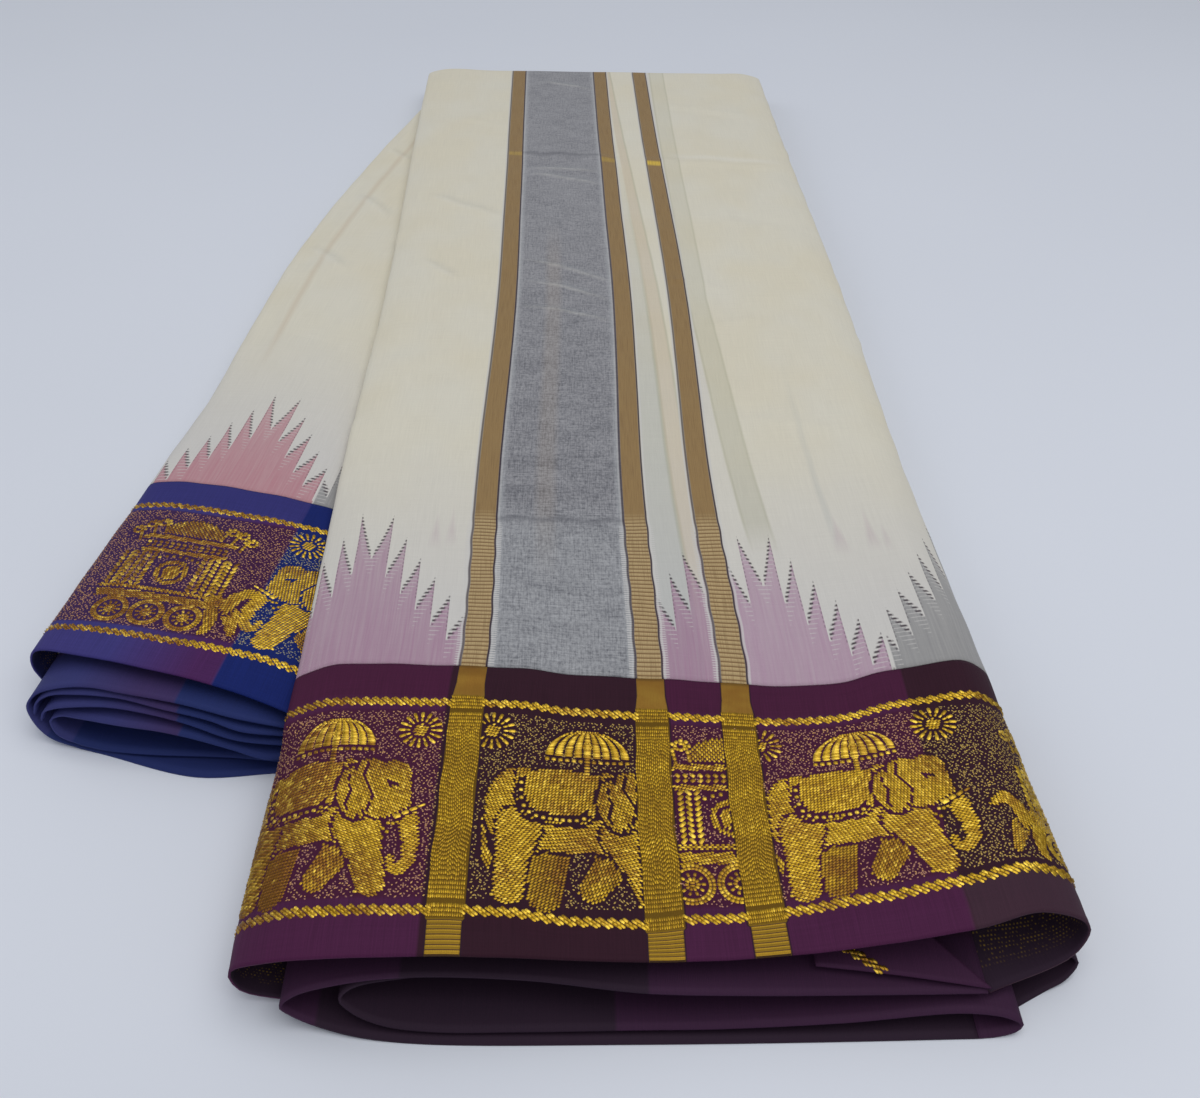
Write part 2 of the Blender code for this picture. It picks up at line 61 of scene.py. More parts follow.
STRIP = 232.0  # width of the folded strip
BORDER = 104.0  # width of each coloured border, hem to seam
GAP = 0.3  # space between two pieces that meet
LAID = 0.5  # space under a stretch that lies on the layers below
SOLID_WALL = 1.1  # thickness of the model's plain walls
FOLD_DEPTH = 20.0  # how far the loose folds run in from the hem
UNDER_SIDE = 3.2  # how far the lower sheet runs in under the upper half's side
HIDDEN_END = 25.0  # how far the lower layers run on inside the upper ones
NOSE_INSET = 4.5  # how far in the layers' sides stand inside the turn
THINNEST = 0.1  # half height at which the layers end inside the turn
LIP_ROOM = 2.2  # space between the layers and the lip of a side fold
LIP_UNDER = 1.0  # how far under a lip the layers' side begins

TURN_AT = 698.5  # where the strip begins to turn back, along its left side
TURN_RADIUS = 11.45  # of the turn's outer face, about a line across the strip at this height
TURN_END = 172.0  # degrees through which the outer layer shows

# Where the left side of each half runs, and how its crosswise direction leans, in degrees.
Way = namedtuple("Way", "run x y lean")
UPPER_WAY = (
    Way(0, 0.0, 0.0, 0.0),
    Way(30, 0.2, 30.4, -0.1),
    Way(104, 1.0, 106.0, -1.0),
    Way(240, -1.0, 243.0, -1.4),
    Way(366, 0.0, 367.0, -1.8),
    Way(590, -4.0, 590.0, -3.0),
    Way(TURN_AT, -5.0, TURN_AT, -3.8),
)
LOWER_WAY = (
    Way(0, -93.0, 120.6, -16.5),
    Way(104, -77.5, 220.0, -13.7),
    Way(160, -72.5, 275.0, -12.0),
    Way(330, -56.0, 443.0, -9.0),
    Way(480, -24.0, 590.0, -6.0),
    Way(575, 1.0, 683.0, -3.8),
)

# Heights of the upper half's top sheet, and how far its side folds reach out, in and down.
Top = namedtuple(
    "Top", "run left arch sag rise right out_left in_left lip_left out_right in_right lip_right"
)
UPPER_TOP = (
    Top(0, 24.0, 28.0, 22.3, 29.5, 30.5, 5.0, 15.0, 0.9, 7.5, 23.0, 9.4),
    Top(16, 25.2, 28.0, 22.4, 29.3, 30.3, 4.7, 8.6, 2.3, 6.7, 34.0, 9.8),
    Top(22, 25.6, 28.0, 22.4, 29.2, 30.3, 4.6, 7.5, 2.6, 6.4, 36.0, 10.2),
    Top(60, 27.5, 28.2, 22.9, 28.8, 30.0, 4.0, 6.0, 3.6, 4.5, 20.0, 11.0),
    Top(78, 28.5, 28.5, 23.2, 28.4, 30.0, 3.0, 4.0, 9.0, 3.6, 5.0, 11.4),
    Top(86, 29.0, 28.7, 23.4, 28.2, 30.0, 2.4, 2.5, 20.8, 3.2, 5.0, 11.6),
    Top(104, 29.6, 28.8, 23.8, 27.8, 30.0, 2.0, 2.0, 20.8, 2.6, 5.0, 12.0),
    Top(160, 27.6, 26.8, 23.5, 26.0, 27.0, 2.0, 2.0, 19.8, 2.4, 5.0, 11.6),
    Top(240, 25.2, 25.0, 23.0, 24.2, 24.6, 2.0, 2.0, 17.2, 2.4, 5.0, 11.4),
    Top(366, 24.0, 24.0, 22.6, 22.6, 22.6, 2.0, 2.0, 15.8, 2.4, 5.0, 12.6),
    Top(590, 22.8, 22.9, 22.6, 22.5, 22.5, 2.0, 2.0, 15.2, 2.4, 4.0, 14.6),
    Top(TURN_AT, 22.9, 22.9, 22.9, 22.9, 22.9, 2.0, 2.0, 15.4, 2.4, 3.0, 15.4),
)
UPPER_ACROSS = dict(left=8.0, arch=45.0, sag=134.0, rise=203.0, right=STRIP - 9.0)
UPPER_FLAT = UPPER_ACROSS["right"] - UPPER_ACROSS["left"]
# Heights of a side fold's low and widest points, in shares of the way up from its lip to the top.
LEFT_FOLD_UP = dict(low=0.22, bulge=0.55)
RIGHT_FOLD_UP = dict(low=0.10, bulge=0.48)
LOW_OUT = dict(left=0.55, right=0.6)  # how far out the low point is, in shares of the widest one
# The same for the lower half, whose right side is hidden.
Low = namedtuple("Low", "run left arch sag out_left in_left lip_left")
LOWER_TOP = (
    Low(0, 26.0, 28.4, 28.4, 5.0, 2.2, 9.6),
    Low(16, 26.0, 28.4, 28.2, 4.7, 3.4, 13.2),
    Low(30, 26.0, 28.4, 28.0, 4.5, 3.5, 13.8),
    Low(104, 25.0, 27.0, 26.4, 3.0, 2.5, 12.6),
    Low(160, 19.0, 21.5, 21.6, 2.4, 2.5, 10.4),
    Low(230, 16.4, 17.4, 17.4, 2.2, 2.5, 9.0),
    Low(330, 15.2, 15.6, 15.4, 2.0, 2.5, 8.4),
    Low(480, 14.2, 14.4, 14.0, 2.0, 2.5, 8.0),
    Low(575, 13.6, 13.6, 13.4, 2.0, 2.5, 8.0),
)
LOWER_ACROSS = dict(arch=0.16, sag=0.62, dip=0.86)  # in shares of the width that shows
LOWER_FOLD_UP = 0.38  # height of the lower fold's widest point, in shares of the way up from its lip
LOWER_SHOULDER = dict(out=0.3, down=0.8)  # the fold's shoulder: share of its reach, and drop from the top
LIP_DROP = 0.8  # how far under the upper half's lip the lower sheet ends
# How far the layers under a side fold reach out from the strip's edge, from the highest to the lowest.
Edge = namedtuple("Edge", "run high middle low")
UPPER_EDGE = (
    Edge(0, 6.6, 3.0, -13.0),
    Edge(60, 5.0, 3.4, -6.0),
    Edge(160, 2.6, 3.6, 1.6),
    Edge(366, 1.6, 3.2, 2.2),
    Edge(TURN_AT, 1.2, 2.6, 1.8),
)
LOWER_EDGE = (
    Edge(0, 2.4, 2.0, -3.0),
    Edge(104, 1.8, 2.4, 1.2),
    Edge(330, 1.4, 2.2, 1.6),
    Edge(575, 1.0, 1.6, 1.2),
)
# How far back from the hem's straight line each point of the upper section stands, in order from the left
# lip, and the run over which that dies away.
HEM_BACK = dict(lip_left=2.0, low_left=3.0, bulge_left=4.0, left=1.0, arch=0.0, sag=0.0, rise=3.5,
                right=8.0, bulge_right=9.0, low_right=6.0, lip_right=-4.5)
HEM_FADE = 60.0
UPPER_POINTS = tuple(HEM_BACK)
LOWER_POINTS = ("lip", "bulge", "shoulder", *LOWER_ACROSS, "end")

# The loose folds at each hem, as one strip each, by their bends: place across, height, and how far back from
# the hem's straight line.
MAROON_FOLDS = dict(
    border_maroon_fold_2=(
        (208, 10.6, -5.2), (180, 12.2, -5.8), (140, 13.4, -5.8), (112, 14.4, -5.0),
        (78, 15.6, -1.0), (45, 16.2, 0.2), (27, 15.6, -1.2), (14.5, 13.4, -3.2),
        (10.6, 10.0, -4.4), (13.0, 6.2, -4.8), (20, 2.9, -6.4), (32, 1.2, -9.0),
        (50, 0.55, -11.0), (110, 0.55, -12.5), (160, 0.55, -13.0), (205.3, 0.55, -13.0),
    ),
    border_maroon_fold_3=(
        (205.4, 0.55, -13.0), (211, 0.8, -12.7), (216, 2.0, -12.0), (217.4, 4.0, -11.4),
        (214, 6.0, -10.4), (203, 6.9, -9.0), (167, 4.6, -9.8), (133, 3.2, -10.0),
        (110, 2.8, -9.6), (78, 2.4, -9.2), (52, 2.5, -8.6), (38, 3.8, -7.0),
        (30, 6.6, -4.6), (26.8, 10.0, -2.6), (30, 12.8, -1.0), (42, 13.9, 1.0),
        (80, 13.4, 2.5), (104, 12.4, 3.0),
    ),
    border_maroon_fold_4=(
        (213.5, 0.4, -7.0), (220.5, 0.5, -3.2), (228, 0.9, 0.4), (235, 2.2, 3.4),
        (238.6, 4.6, 6.6), (236.5, 7.0, 7.6), (229, 8.0, 8.0), (221, 8.2, 8.0),
    ),
)
BLUE_FOLDS = dict(
    border_blue_fold_2=(
        (-0.8, 16.0, -1.6), (-18, 20.6, -6.0), (-39, 22.6, -6.6), (-59.5, 23.2, -8.0),
        (-71, 23.2, -8.6), (-83, 21.6, -11.0), (-91.6, 17.6, -13.0), (-95.2, 12.6, -15.0),
        (-93.4, 7.6, -17.0), (-88.6, 3.6, -18.6), (-80, 1.4, -18.4), (-70, 0.55, -18.2),
        (-35, 0.55, -18.6), (-9.6, 0.55, -10.0), (-0.8, 0.55, -7.0),
    ),
    border_blue_fold_3=(
        (-0.8, 13.2, -2.4), (-18, 17.4, -8.4), (-29, 19.0, -8.0), (-46, 20.2, -8.6),
        (-61, 20.8, -8.6), (-77, 20.4, -11.0), (-86.6, 18.4, -12.6), (-91.6, 14.6, -14.4),
        (-92.6, 11.0, -16.0),
    ),
    border_blue_fold_4=(
        (-0.8, 10.2, -4.0), (-20, 13.4, -9.4), (-37, 16.4, -9.6), (-47, 17.4, -9.8),
        (-64, 17.8, -11.0), (-77, 17.4, -14.0), (-84.6, 15.8, -15.6), (-88.8, 12.8, -16.0),
        (-90.0, 9.8, -17.0),
    ),
    border_blue_fold_5=(
        (-0.8, 6.6, -5.4), (-10, 7.4, -10.0), (-21.5, 9.8, -11.0), (-34.5, 12.8, -12.4),
        (-46, 13.5, -13.0), (-60, 13.8, -14.6), (-76, 13.5, -15.4), (-83, 12.4, -15.4),
        (-87.0, 9.4, -16.4), (-85.2, 6.0, -18.2), (-80, 3.7, -18.4), (-70, 2.5, -18.0),
        (-56, 2.3, -16.0), (-22, 2.4, -8.4), (-0.8, 2.4, -5.0),
    ),
)
# A hem's straight line in plan, and the direction in from it.
Hem = namedtuple("Hem", "slope start inward")
MAROON_HEM = Hem(0.0, 0.0, (0.0, 1.0))
BLUE_HEM = Hem(-0.30, 92.6, (0.155, 0.988))
# The corner turned up below the maroon hem: a tip, and the edge where it goes in among the folds.
Corner = namedtuple("Corner", "tip front_left back_left back_right")
CORNER = Corner((209.0, -4.6, 12.2), (160.0, 1.0, 16.6), (160.0, 18.0, 17.2), (187.0, 18.0, 17.6))
CORNER_CELLS = (14, 36)  # points of its grid, in from its edge and across
CORNER_SWELL = 0.8  # how far its middle stands up
CORNER_ROPE = (19.5, 0.0, 148.0)  # where a rope crosses the turned corner, and its direction in degrees

# Where the three gold stripes' middles stand across the strip at each run, and their places on the cloth.
Drift = namedtuple("Drift", "run one two three")
STRIPE_DRIFT = (
    Drift(0, 56.4, 118.2, 147.6),
    Drift(20, 56.2, 118.3, 146.8),
    Drift(50, 56.6, 117.5, 146.0),
    Drift(90, 57.2, 118.0, 146.0),
    Drift(110, 58.4, 118.0, 146.8),
    Drift(185, 59.4, 118.2, 146.2),
    Drift(295, 61.0, 119.4, 147.3),
    Drift(451, 62.2, 119.4, 147.9),
    Drift(549, 63.8, 120.4, 148.3),
    Drift(TURN_AT, 64.2, 120.4, 148.4),
)
STRIPES = (59.0, 118.5, 147.0)

# How far in from its even place each line of the weave lies, at the hem's rope and at the panel's top.
Pull = namedtuple("Pull", "u rope top")
UPPER_PULLS = (
    Pull(-20, 0.0, -3.0), Pull(2, 0.3, -0.6), Pull(14, 0.5, 1.6), Pull(50, 0.5, 2.4), Pull(74, 0.2, 2.6),
    Pull(90, -1.8, 0.8), Pull(112, -2.6, 0.1), Pull(128, -1.2, -0.4), Pull(143, -1.1, -1.8),
    Pull(158, 0.0, -4.0), Pull(172, 1.4, -4.8), Pull(184, 1.9, -3.7), Pull(195, 3.0, -0.4),
    Pull(205, 3.9, 1.2), Pull(218, 4.6, 1.7), Pull(229, 6.0, 3.4), Pull(262, 6.0, 3.4),
)
LOWER_PULLS = (
    Pull(-25, -2.0, -4.6), Pull(4, -1.9, -4.2), Pull(17, -0.8, -2.8), Pull(32, -0.2, -2.8),
    Pull(48, 0.9, -2.3), Pull(62, 2.2, -0.8), Pull(74, 3.5, 1.5), Pull(92, 4.7, 3.0), Pull(140, 5.0, 4.0),
)
PULLED_TO = (0.0, 13.6, 96.0, 190.0)  # runs where it begins, is the rope's, is the top's, and has gone


# ---- curves and sections ----

STEEPEST = 2.5  # a limited curve's slope at a knot, at most, in times the lesser slope beside it
KNOT_POWER = 0.6  # a curve's knots are spaced by this power of the distances between its points
REACH_ROUNDS = 4  # rounds in which a place and the height over it close in on each other
FINE = 6  # steps between two points of a section, for reading it finely
COARSE = 3  # and for the hidden layers


def through(knots, values, at, limited=True):
    """A smooth curve through values at the knots, read at each place in `at`: a cubic between each pair,
    whose slope at a knot is the mean of its neighbours' slopes, held flat at peaks where `limited`."""
    knots, values, at = (np.asarray(a, float) for a in (knots, values, at))
    step = np.diff(knots)
    rise = np.diff(values) / step
    slope = np.empty_like(values)
    slope[1:-1] = (rise[:-1] * step[1:] + rise[1:] * step[:-1]) / (step[:-1] + step[1:])
    if limited:
        peak = rise[:-1] * rise[1:] <= 0
        slope[1:-1][peak] = 0
        most = STEEPEST * np.minimum(abs(rise[:-1]), abs(rise[1:]))
        slope[1:-1] = np.clip(slope[1:-1], -most, most)
    slope[0], slope[-1] = rise[0], rise[-1]
    k = np.clip(np.searchsorted(knots, at, side="right") - 1, 0, len(step) - 1)
    f = np.clip((at - knots[k]) / step[k], 0, 1)
    return (
        values[k] * (1 + 2 * f) * (1 - f) ** 2
        + values[k + 1] * f * f * (3 - 2 * f)
        + step[k] * f * (1 - f) * (slope[k] * (1 - f) - slope[k + 1] * f)
    )


def rows_at(table, runs):
    """The table read at each of the runs, every column as its own smooth curve."""
    knots = [row.run for row in table]
    columns = [through(knots, [row[k] for row in table], runs) for k in range(len(table[0]))]
    return [type(table[0])(*values) for values in zip(*columns)]


def curve_through(points, pieces):
    """A smooth curve through the points, with so many steps between each two of them."""
    points = np.asarray(points, float)
    gaps = np.linalg.norm(np.diff(points[:, :2], axis=0), axis=1)
    knots = np.r_[0, np.cumsum(gaps**KNOT_POWER)]
    places = [np.linspace(knots[k], knots[k + 1], n, endpoint=False) for k, n in enumerate(pieces)]
    places = np.r_[np.concatenate(places), knots[-1]]
    return np.stack([through(knots, column, places, limited=False) for column in points.T], axis=1)


def section_curve(points, steps):
    """The curve through a section's points, with the same number of steps between each two."""
    return curve_through(points, [steps] * (len(points) - 1))


def samples_at(names, steps, *wanted):
    """The samples of a section's curve at which some of its named points stand."""
    return [steps * names.index(name) for name in wanted]


def on_strip(way, across, height, back=0.0):
    """Points at distances across a strip whose left side and lean are given by `way`."""
    lean = math.radians(way.lean)
    x = way.x + across * math.cos(lean)
    y = way.y + across * math.sin(lean) + back
    return np.stack([x, y, height + 0 * across], axis=1)


def upper_section(top, run):
    """The upper sheet's outline at one run, from the lip of its left fold over the top to its right lip."""
    left_up = {k: top.lip_left + up * (top.left - top.lip_left) for k, up in LEFT_FOLD_UP.items()}
    right_up = {k: top.lip_right + up * (top.right - top.lip_right) for k, up in RIGHT_FOLD_UP.items()}
    points = dict(
        lip_left=(top.in_left, top.lip_left),
        low_left=(-LOW_OUT["left"] * top.out_left, left_up["low"]),
        bulge_left=(-top.out_left, left_up["bulge"]),
    )
    points.update({name: (across, getattr(top, name)) for name, across in UPPER_ACROSS.items()})
    points.update(
        bulge_right=(STRIP + top.out_right, right_up["bulge"]),
        low_right=(STRIP + LOW_OUT["right"] * top.out_right, right_up["low"]),
        lip_right=(STRIP - top.in_right, top.lip_right),
    )
    fade = max(0.0, 1 - run / HEM_FADE) ** 2
    return [(*place, HEM_BACK[name] * fade) for name, place in points.items()]


def lower_section(top, end, end_height):
    """The lower sheet's outline at one run, from the lip of its left fold to its end under the upper half."""
    heights = dict(arch=top.arch, sag=top.sag, dip=0.5 * (top.sag + end_height))
    return [
        (top.in_left - top.out_left, top.lip_left, 0.0),
        (-top.out_left, top.lip_left + LOWER_FOLD_UP * (top.left - top.lip_left), 0.0),
        (-LOWER_SHOULDER["out"] * top.out_left, top.left - LOWER_SHOULDER["down"], 0.0),
        *((share * end, heights[name], 0.0) for name, share in LOWER_ACROSS.items()),
        (end, end_height, 0.0),
    ]


def lower_reach(way, inset):
    """How far across the lower strip it is to `inset` inside the upper half's left side, and the run there.
    The side is read at the run where the last reach met it, a few times over."""
    lean = math.radians(way.lean)
    reach = -way.x
    for _ in range(REACH_ROUNDS):
        run = min(TURN_AT, way.y + reach * math.sin(lean))
        reach = (rows_at(UPPER_WAY, [run])[0].x + inset - way.x) / math.cos(lean)
    return reach, run


def lower_curve(top, way, steps):
    """The lower section's curve at one run, and how far across it ends under the upper half's lip."""
    end, side_run = lower_reach(way, UNDER_SIDE)
    end_height = rows_at(UPPER_TOP, [side_run])[0].lip_left - LIP_DROP
    return section_curve(lower_section(top, end, end_height), steps), end


def turned(points, degrees):
    """Points over the turn's axis, carried round it by an angle: up becomes outward along the strip."""
    lean, angle = math.radians(UPPER_WAY[-1].lean), math.radians(degrees)
    height = points[:, 2] - TURN_RADIUS
    out = height * math.sin(angle)
    x = points[:, 0] - out * math.sin(lean)
    y = points[:, 1] + out * math.cos(lean)
    z = np.maximum(TURN_RADIUS + height * math.cos(angle), 0.0)
    return np.stack([x, y, z], axis=1)


# ---- grids of cloth ----

# A sheet as rows of points in from the hem: each point's place, and where it stands on the cloth.
Grid = namedtuple("Grid", "points u v")


def columns_on(curve, first, last, marks, counts, shift=None):
    """Points along one section at even places on the cloth. A place on the cloth is the distance across from
    the strip's edge between the samples `first` and `last`, and beyond them it goes on by arc length. `marks`
    are the places where the spacing changes, and `counts` the steps between the ends and the marks."""
    arc = np.r_[0, np.cumsum(np.hypot(np.diff(curve[:, 0]), np.diff(curve[:, 1])))]
    u = curve[:, 0].copy()
    u[:first] = u[first] - (arc[first] - arc[:first])
    u[last + 1 :] = u[last] + (arc[last + 1 :] - arc[last])
    if shift is not None:
        u = np.interp(u, *shift) + np.minimum(u - shift[0][0], 0) + np.maximum(u - shift[0][-1], 0)
    ends = [u[0], *marks, u[-1]]
    at = [np.linspace(a, b, n, endpoint=False) for a, b, n in zip(ends, ends[1:], counts)]
    at = np.r_[np.concatenate(at), u[-1]]
    return np.stack([np.interp(at, u, column) for column in curve.T], axis=1), at


def upper_grid(runs, counts, turns=()):
    """The upper half's top sheet: sections over the strip, then the last one carried round the turn."""
    first, last = samples_at(UPPER_POINTS, FINE, "left", "right")
    marks = (UPPER_ACROSS["left"], UPPER_ACROSS["right"])
    rows, places = [], []
    tops, ways = rows_at(UPPER_TOP, runs), rows_at(UPPER_WAY, runs)
    for run, top, way, drift in zip(runs, tops, ways, rows_at(STRIPE_DRIFT, runs)):
        shift = ((0, drift.one, drift.two, drift.three, STRIP), (0, *STRIPES, STRIP))
        curve = section_curve(upper_section(top, run), FINE)
        points, at = columns_on(curve, first, last, marks, counts, shift)
        rows.append(on_strip(way, points[:, 0], points[:, 1], points[:, 2]))
        places.append(at)
    along = list(runs)
    for angle in turns:
        rows.append(turned(rows[len(runs) - 1], angle))
        places.append(places[len(runs) - 1])
        along.append(runs[-1] + math.radians(angle) * TURN_RADIUS)
    u = np.array(places)
    return Grid(np.array(rows), u, np.array(along)[:, None] + 0 * u)


def lower_grid(runs, counts):
    """The lower half's top sheet, as far as it shows: its sections over the strip."""
    first, last = samples_at(LOWER_POINTS, FINE, "arch", "end")
    rows, places = [], []
    for top, way in zip(rows_at(LOWER_TOP, runs), rows_at(LOWER_WAY, runs)):
        curve, _ = lower_curve(top, way, FINE)
        points, at = columns_on(curve, first, last, (curve[first, 0],), counts)
        rows.append(on_strip(way, points[:, 0], points[:, 1]))
        places.append(at)
    u = np.array(places)
    return Grid(np.array(rows), u, np.asarray(runs)[:, None] + 0 * u)


def pulled(grid, table):
    """The grid with its rows drawn in or out along the strip, so that the lines of the weave wander: each
    point is read between the two rows that the pull at its place leads to, or past the ends of the grid."""
    across = [pull.u for pull in table]
    rope = through(across, [pull.rope for pull in table], grid.u)
    top = through(across, [pull.top for pull in table], grid.u)
    start, low, high, end = PULLED_TO
    v = grid.v
    first = np.clip((v - start) / (low - start), 0, 1) * rope
    share = np.clip((v - low) / (high - low), 0, 1)
    fade = np.clip((end - v) / (end - high), 0, 1)
    at = v + np.where(v < low, first, rope + (top - rope) * share) * fade * fade * (3 - 2 * fade)
    runs, count = v[:, 0], len(v)
    row = np.interp(at, runs, np.arange(count))
    row += np.minimum(at - runs[0], 0) / (runs[1] - runs[0])
    row += np.maximum(at - runs[-1], 0) / (runs[-1] - runs[-2])
    near = np.clip(np.floor(row), 0, count - 2).astype(int)
    columns = np.arange(v.shape[1])[None]
    blend = (row - near)[..., None]
    points = grid.points[near, columns] * (1 - blend) + grid.points[near + 1, columns] * blend
    return grid._replace(points=points)


def normals_of(points):
    """The unit normal at each point of a grid: the cross product of its two directions."""
    across, along = np.gradient(points, axis=1), np.gradient(points, axis=0)
    normal = np.cross(across, along)
    return normal / np.maximum(np.linalg.norm(normal, axis=-1, keepdims=True), 1e-9)


def placed(points):
    """Millimetres from the near left corner, to metres from the middle of the footprint."""
    return (np.asarray(points, float) - (*PLAN_CENTRE, 0.0)) * MM


def grid_faces(deep, wide, closed=False):
    """Four corners of each cell of a grid, and of the cells that close it round its width."""
    corner = np.arange(deep * wide).reshape(deep, wide)
    if closed:
        corner = np.c_[corner, corner[:, 0]]
    cells = [corner[:-1, :-1], corner[:-1, 1:], corner[1:, 1:], corner[1:, :-1]]
    return np.stack(cells, axis=-1).reshape(-1, 4)


def mesh_of(name, points, faces, cloth=None, tone=None):
    """A mesh from arrays: places in metres, corners of each face, places on the cloth in millimetres for
    the UV map, and a tone for each point."""
    mesh = bpy.data.meshes.new(name)
    mesh.vertices.add(len(points))
    mesh.vertices.foreach_set("co", np.asarray(points, np.float32).ravel())
    mesh.loops.add(faces.size)
    mesh.loops.foreach_set("vertex_index", faces.astype(np.int32).ravel())
    mesh.polygons.add(len(faces))
    mesh.polygons.foreach_set("loop_start", np.arange(0, faces.size, faces.shape[1], dtype=np.int32))
    if cloth is not None:
        layer = mesh.uv_layers.new(name="cloth")
        layer.data.foreach_set("uv", (cloth[faces.ravel()] * MM).astype(np.float32).ravel())
    if tone is not None:
        mesh.attributes.new("tone", "FLOAT", "POINT").data.foreach_set("value", tone.astype(np.float32))
    mesh.update(calc_edges=True)
    mesh.shade_smooth()
    return mesh


def piece_of(name, mesh, materials, finish, *nodes):
    """An object for a finished mesh, which rides on the body and stands for the model's nodes."""
    piece = bpy.data.objects.new(name, mesh)
    bpy.context.scene.collection.objects.link(piece)
    for material in materials:
        piece.data.materials.append(material)
    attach(piece, "root")
    if nodes:
        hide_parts(*nodes)
    return piece


def sheet_piece(name, grid, materials, finish, node, offset, wall):
    """A sheet of cloth over a grid, with a thin wall."""
    deep, wide = grid.u.shape
    cloth = np.stack([grid.u, grid.v], axis=-1).reshape(-1, 2)
    mesh = mesh_of(name, placed(grid.points.reshape(-1, 3)), grid_faces(deep, wide), cloth)
    piece = piece_of(name, mesh, materials, finish, node)
    solid = piece.modifiers.new("cloth wall", "SOLIDIFY")
    solid.thickness = wall * MM
    solid.offset = offset
    solid.use_even_offset = True
    solid.use_quality_normals = True
    solid.material_offset = len(materials) - 1
    return piece


# ---- creases ----

# Soft ridges and troughs pressed into the cloth: both ends as (u, v), height, and half width.
Crease = namedtuple("Crease", "u0 v0 u1 v1 height width")
FAR_CREASES = (
    Crease(62, 556, 126, 545, 0.55, 3.2),
    Crease(126, 546, 226, 532, 0.45, 4.0),
)
UPPER_CREASES = (
    Crease(66, 530, 114, 526, 0.5, 2.6),
    Crease(68, 523, 114, 506, 0.45, 2.4),
    Crease(66, 411, 114, 385, 0.5, 2.4),
    Crease(68, 387, 111, 368, 0.45, 2.2),
    Crease(67, 361, 112, 345, 0.4, 2.0),
    Crease(12, 489, 53, 459, 0.5, 3.4),
    Crease(13, 409, 32, 387, 0.4, 2.6),
    Crease(143, 393, 173, 381, 0.35, 2.6),
    Crease(158, 341, 188, 351, 0.35, 3.0),
    Crease(74, 679, 112, 664, 0.4, 2.6),
    Crease(158, 640, 214, 618, 0.35, 4.0),
    Crease(16, 300, 48, 286, -0.35, 3.4),
    Crease(168, 262, 216, 246, 0.35, 3.6),
    Crease(22, 610, 54, 596, 0.35, 3.0),
    Crease(182, 470, 222, 452, -0.3, 4.4),
    Crease(30, 140, 44, 560, -0.4, 6.0),
    Crease(186, 210, 178, 640, -0.35, 7.0),
    Crease(96, 240, 92, 470, 0.25, 5.0),
    Crease(-6, 240, 0, 262, 0.3, 2.6),
    Crease(-7, 430, 1, 448, 0.3, 2.8),
    Crease(233, 330, 242, 345, 0.3, 3.0),
    Crease(232, 560, 240, 575, 0.3, 3.0),
    Crease(40, 712, 108, 718, 0.4, 3.0),
    Crease(130, 722, 206, 714, 0.35, 3.4),
)
LOWER_CREASES = (
    Crease(4, 330, 30, 306, 0.5, 3.0),
    Crease(8, 400, 36, 372, 0.45, 2.8),
    Crease(20, 238, 52, 226, -0.35, 3.4),
    Crease(14, 150, 18, 470, -0.35, 4.4),
    Crease(2, 470, 22, 452, 0.4, 2.6),
)
BORDER_CREASES = (
    Crease(30, 96, 90, 99, 0.25, 3.0),
    Crease(152, 99, 206, 95, 0.3, 3.4),
    Crease(14, 6, 100, 3, 0.25, 2.6),
    Crease(160, 7, 214, 4, 0.3, 2.6),
)
# Long waves of the whole cloth: lengths across and along, where they start in radians, and height.
Swell = namedtuple("Swell", "across along start deep")
SWELLS = (
    Swell(61.0, 37.0, 0.3, 0.16),
    Swell(23.0, 83.0, 1.7, 0.18),
    Swell(117.0, 29.0, 4.1, 0.10),
)
CREASE_LIFT = 1.9  # how many times its table's height a crease stands out
CREASE_BOW = 0.035  # how far a crease bows out, in shares of its length
CREASE_TURN = 2.6  # radians of the bow's wave from end to end
CREASE_ENDS = (4.0, 0.15)  # how steeply a crease rises from its ends, and what is left at them
CREASE_CLEAR = 9.0  # how far in from the sheet's sides the relief dies away


def relief(u, v, creases):
    """How far the cloth stands out from its smooth form: for each crease a bell across its line that dies
    away towards both ends, and all over a few long waves with unlike lengths across and along."""
    height = np.zeros_like(u)
    steep, left = CREASE_ENDS
    for c in creases:
        along_u, along_v = c.u1 - c.u0, c.v1 - c.v0
        length = math.hypot(along_u, along_v)
        share = ((u - c.u0) * along_u + (v - c.v0) * along_v) / length**2
        off = ((u - c.u0) * along_v - (v - c.v0) * along_u) / length
        bow = off + CREASE_BOW * length * np.sin(CREASE_TURN * share)
        ends = np.clip(np.minimum(share, 1 - share) * steep + left, 0, 1)
        height += CREASE_LIFT * c.height * np.exp(-((bow / c.width) ** 2)) * ends * ends * (3 - 2 * ends)
    for s in SWELLS:
        across = np.sin(2 * math.pi * u / s.across + s.start)
        height += s.deep * across * np.sin(2 * math.pi * v / s.along + 2 * s.start)
    return height


def creased(grid, creases):
    """The grid with its relief along the cloth's normals, which dies away towards both sides of the sheet."""
    side = np.minimum(grid.u - grid.u[:, :1], grid.u[:, -1:] - grid.u) / CREASE_CLEAR
    out = relief(grid.u, grid.v, creases) * np.clip(side, 0, 1)
    points = grid.points + normals_of(grid.points) * out[..., None]
    points[..., 2] = np.maximum(points[..., 2], 0.0)
    return grid._replace(points=points)


# ---- the hidden layers ----

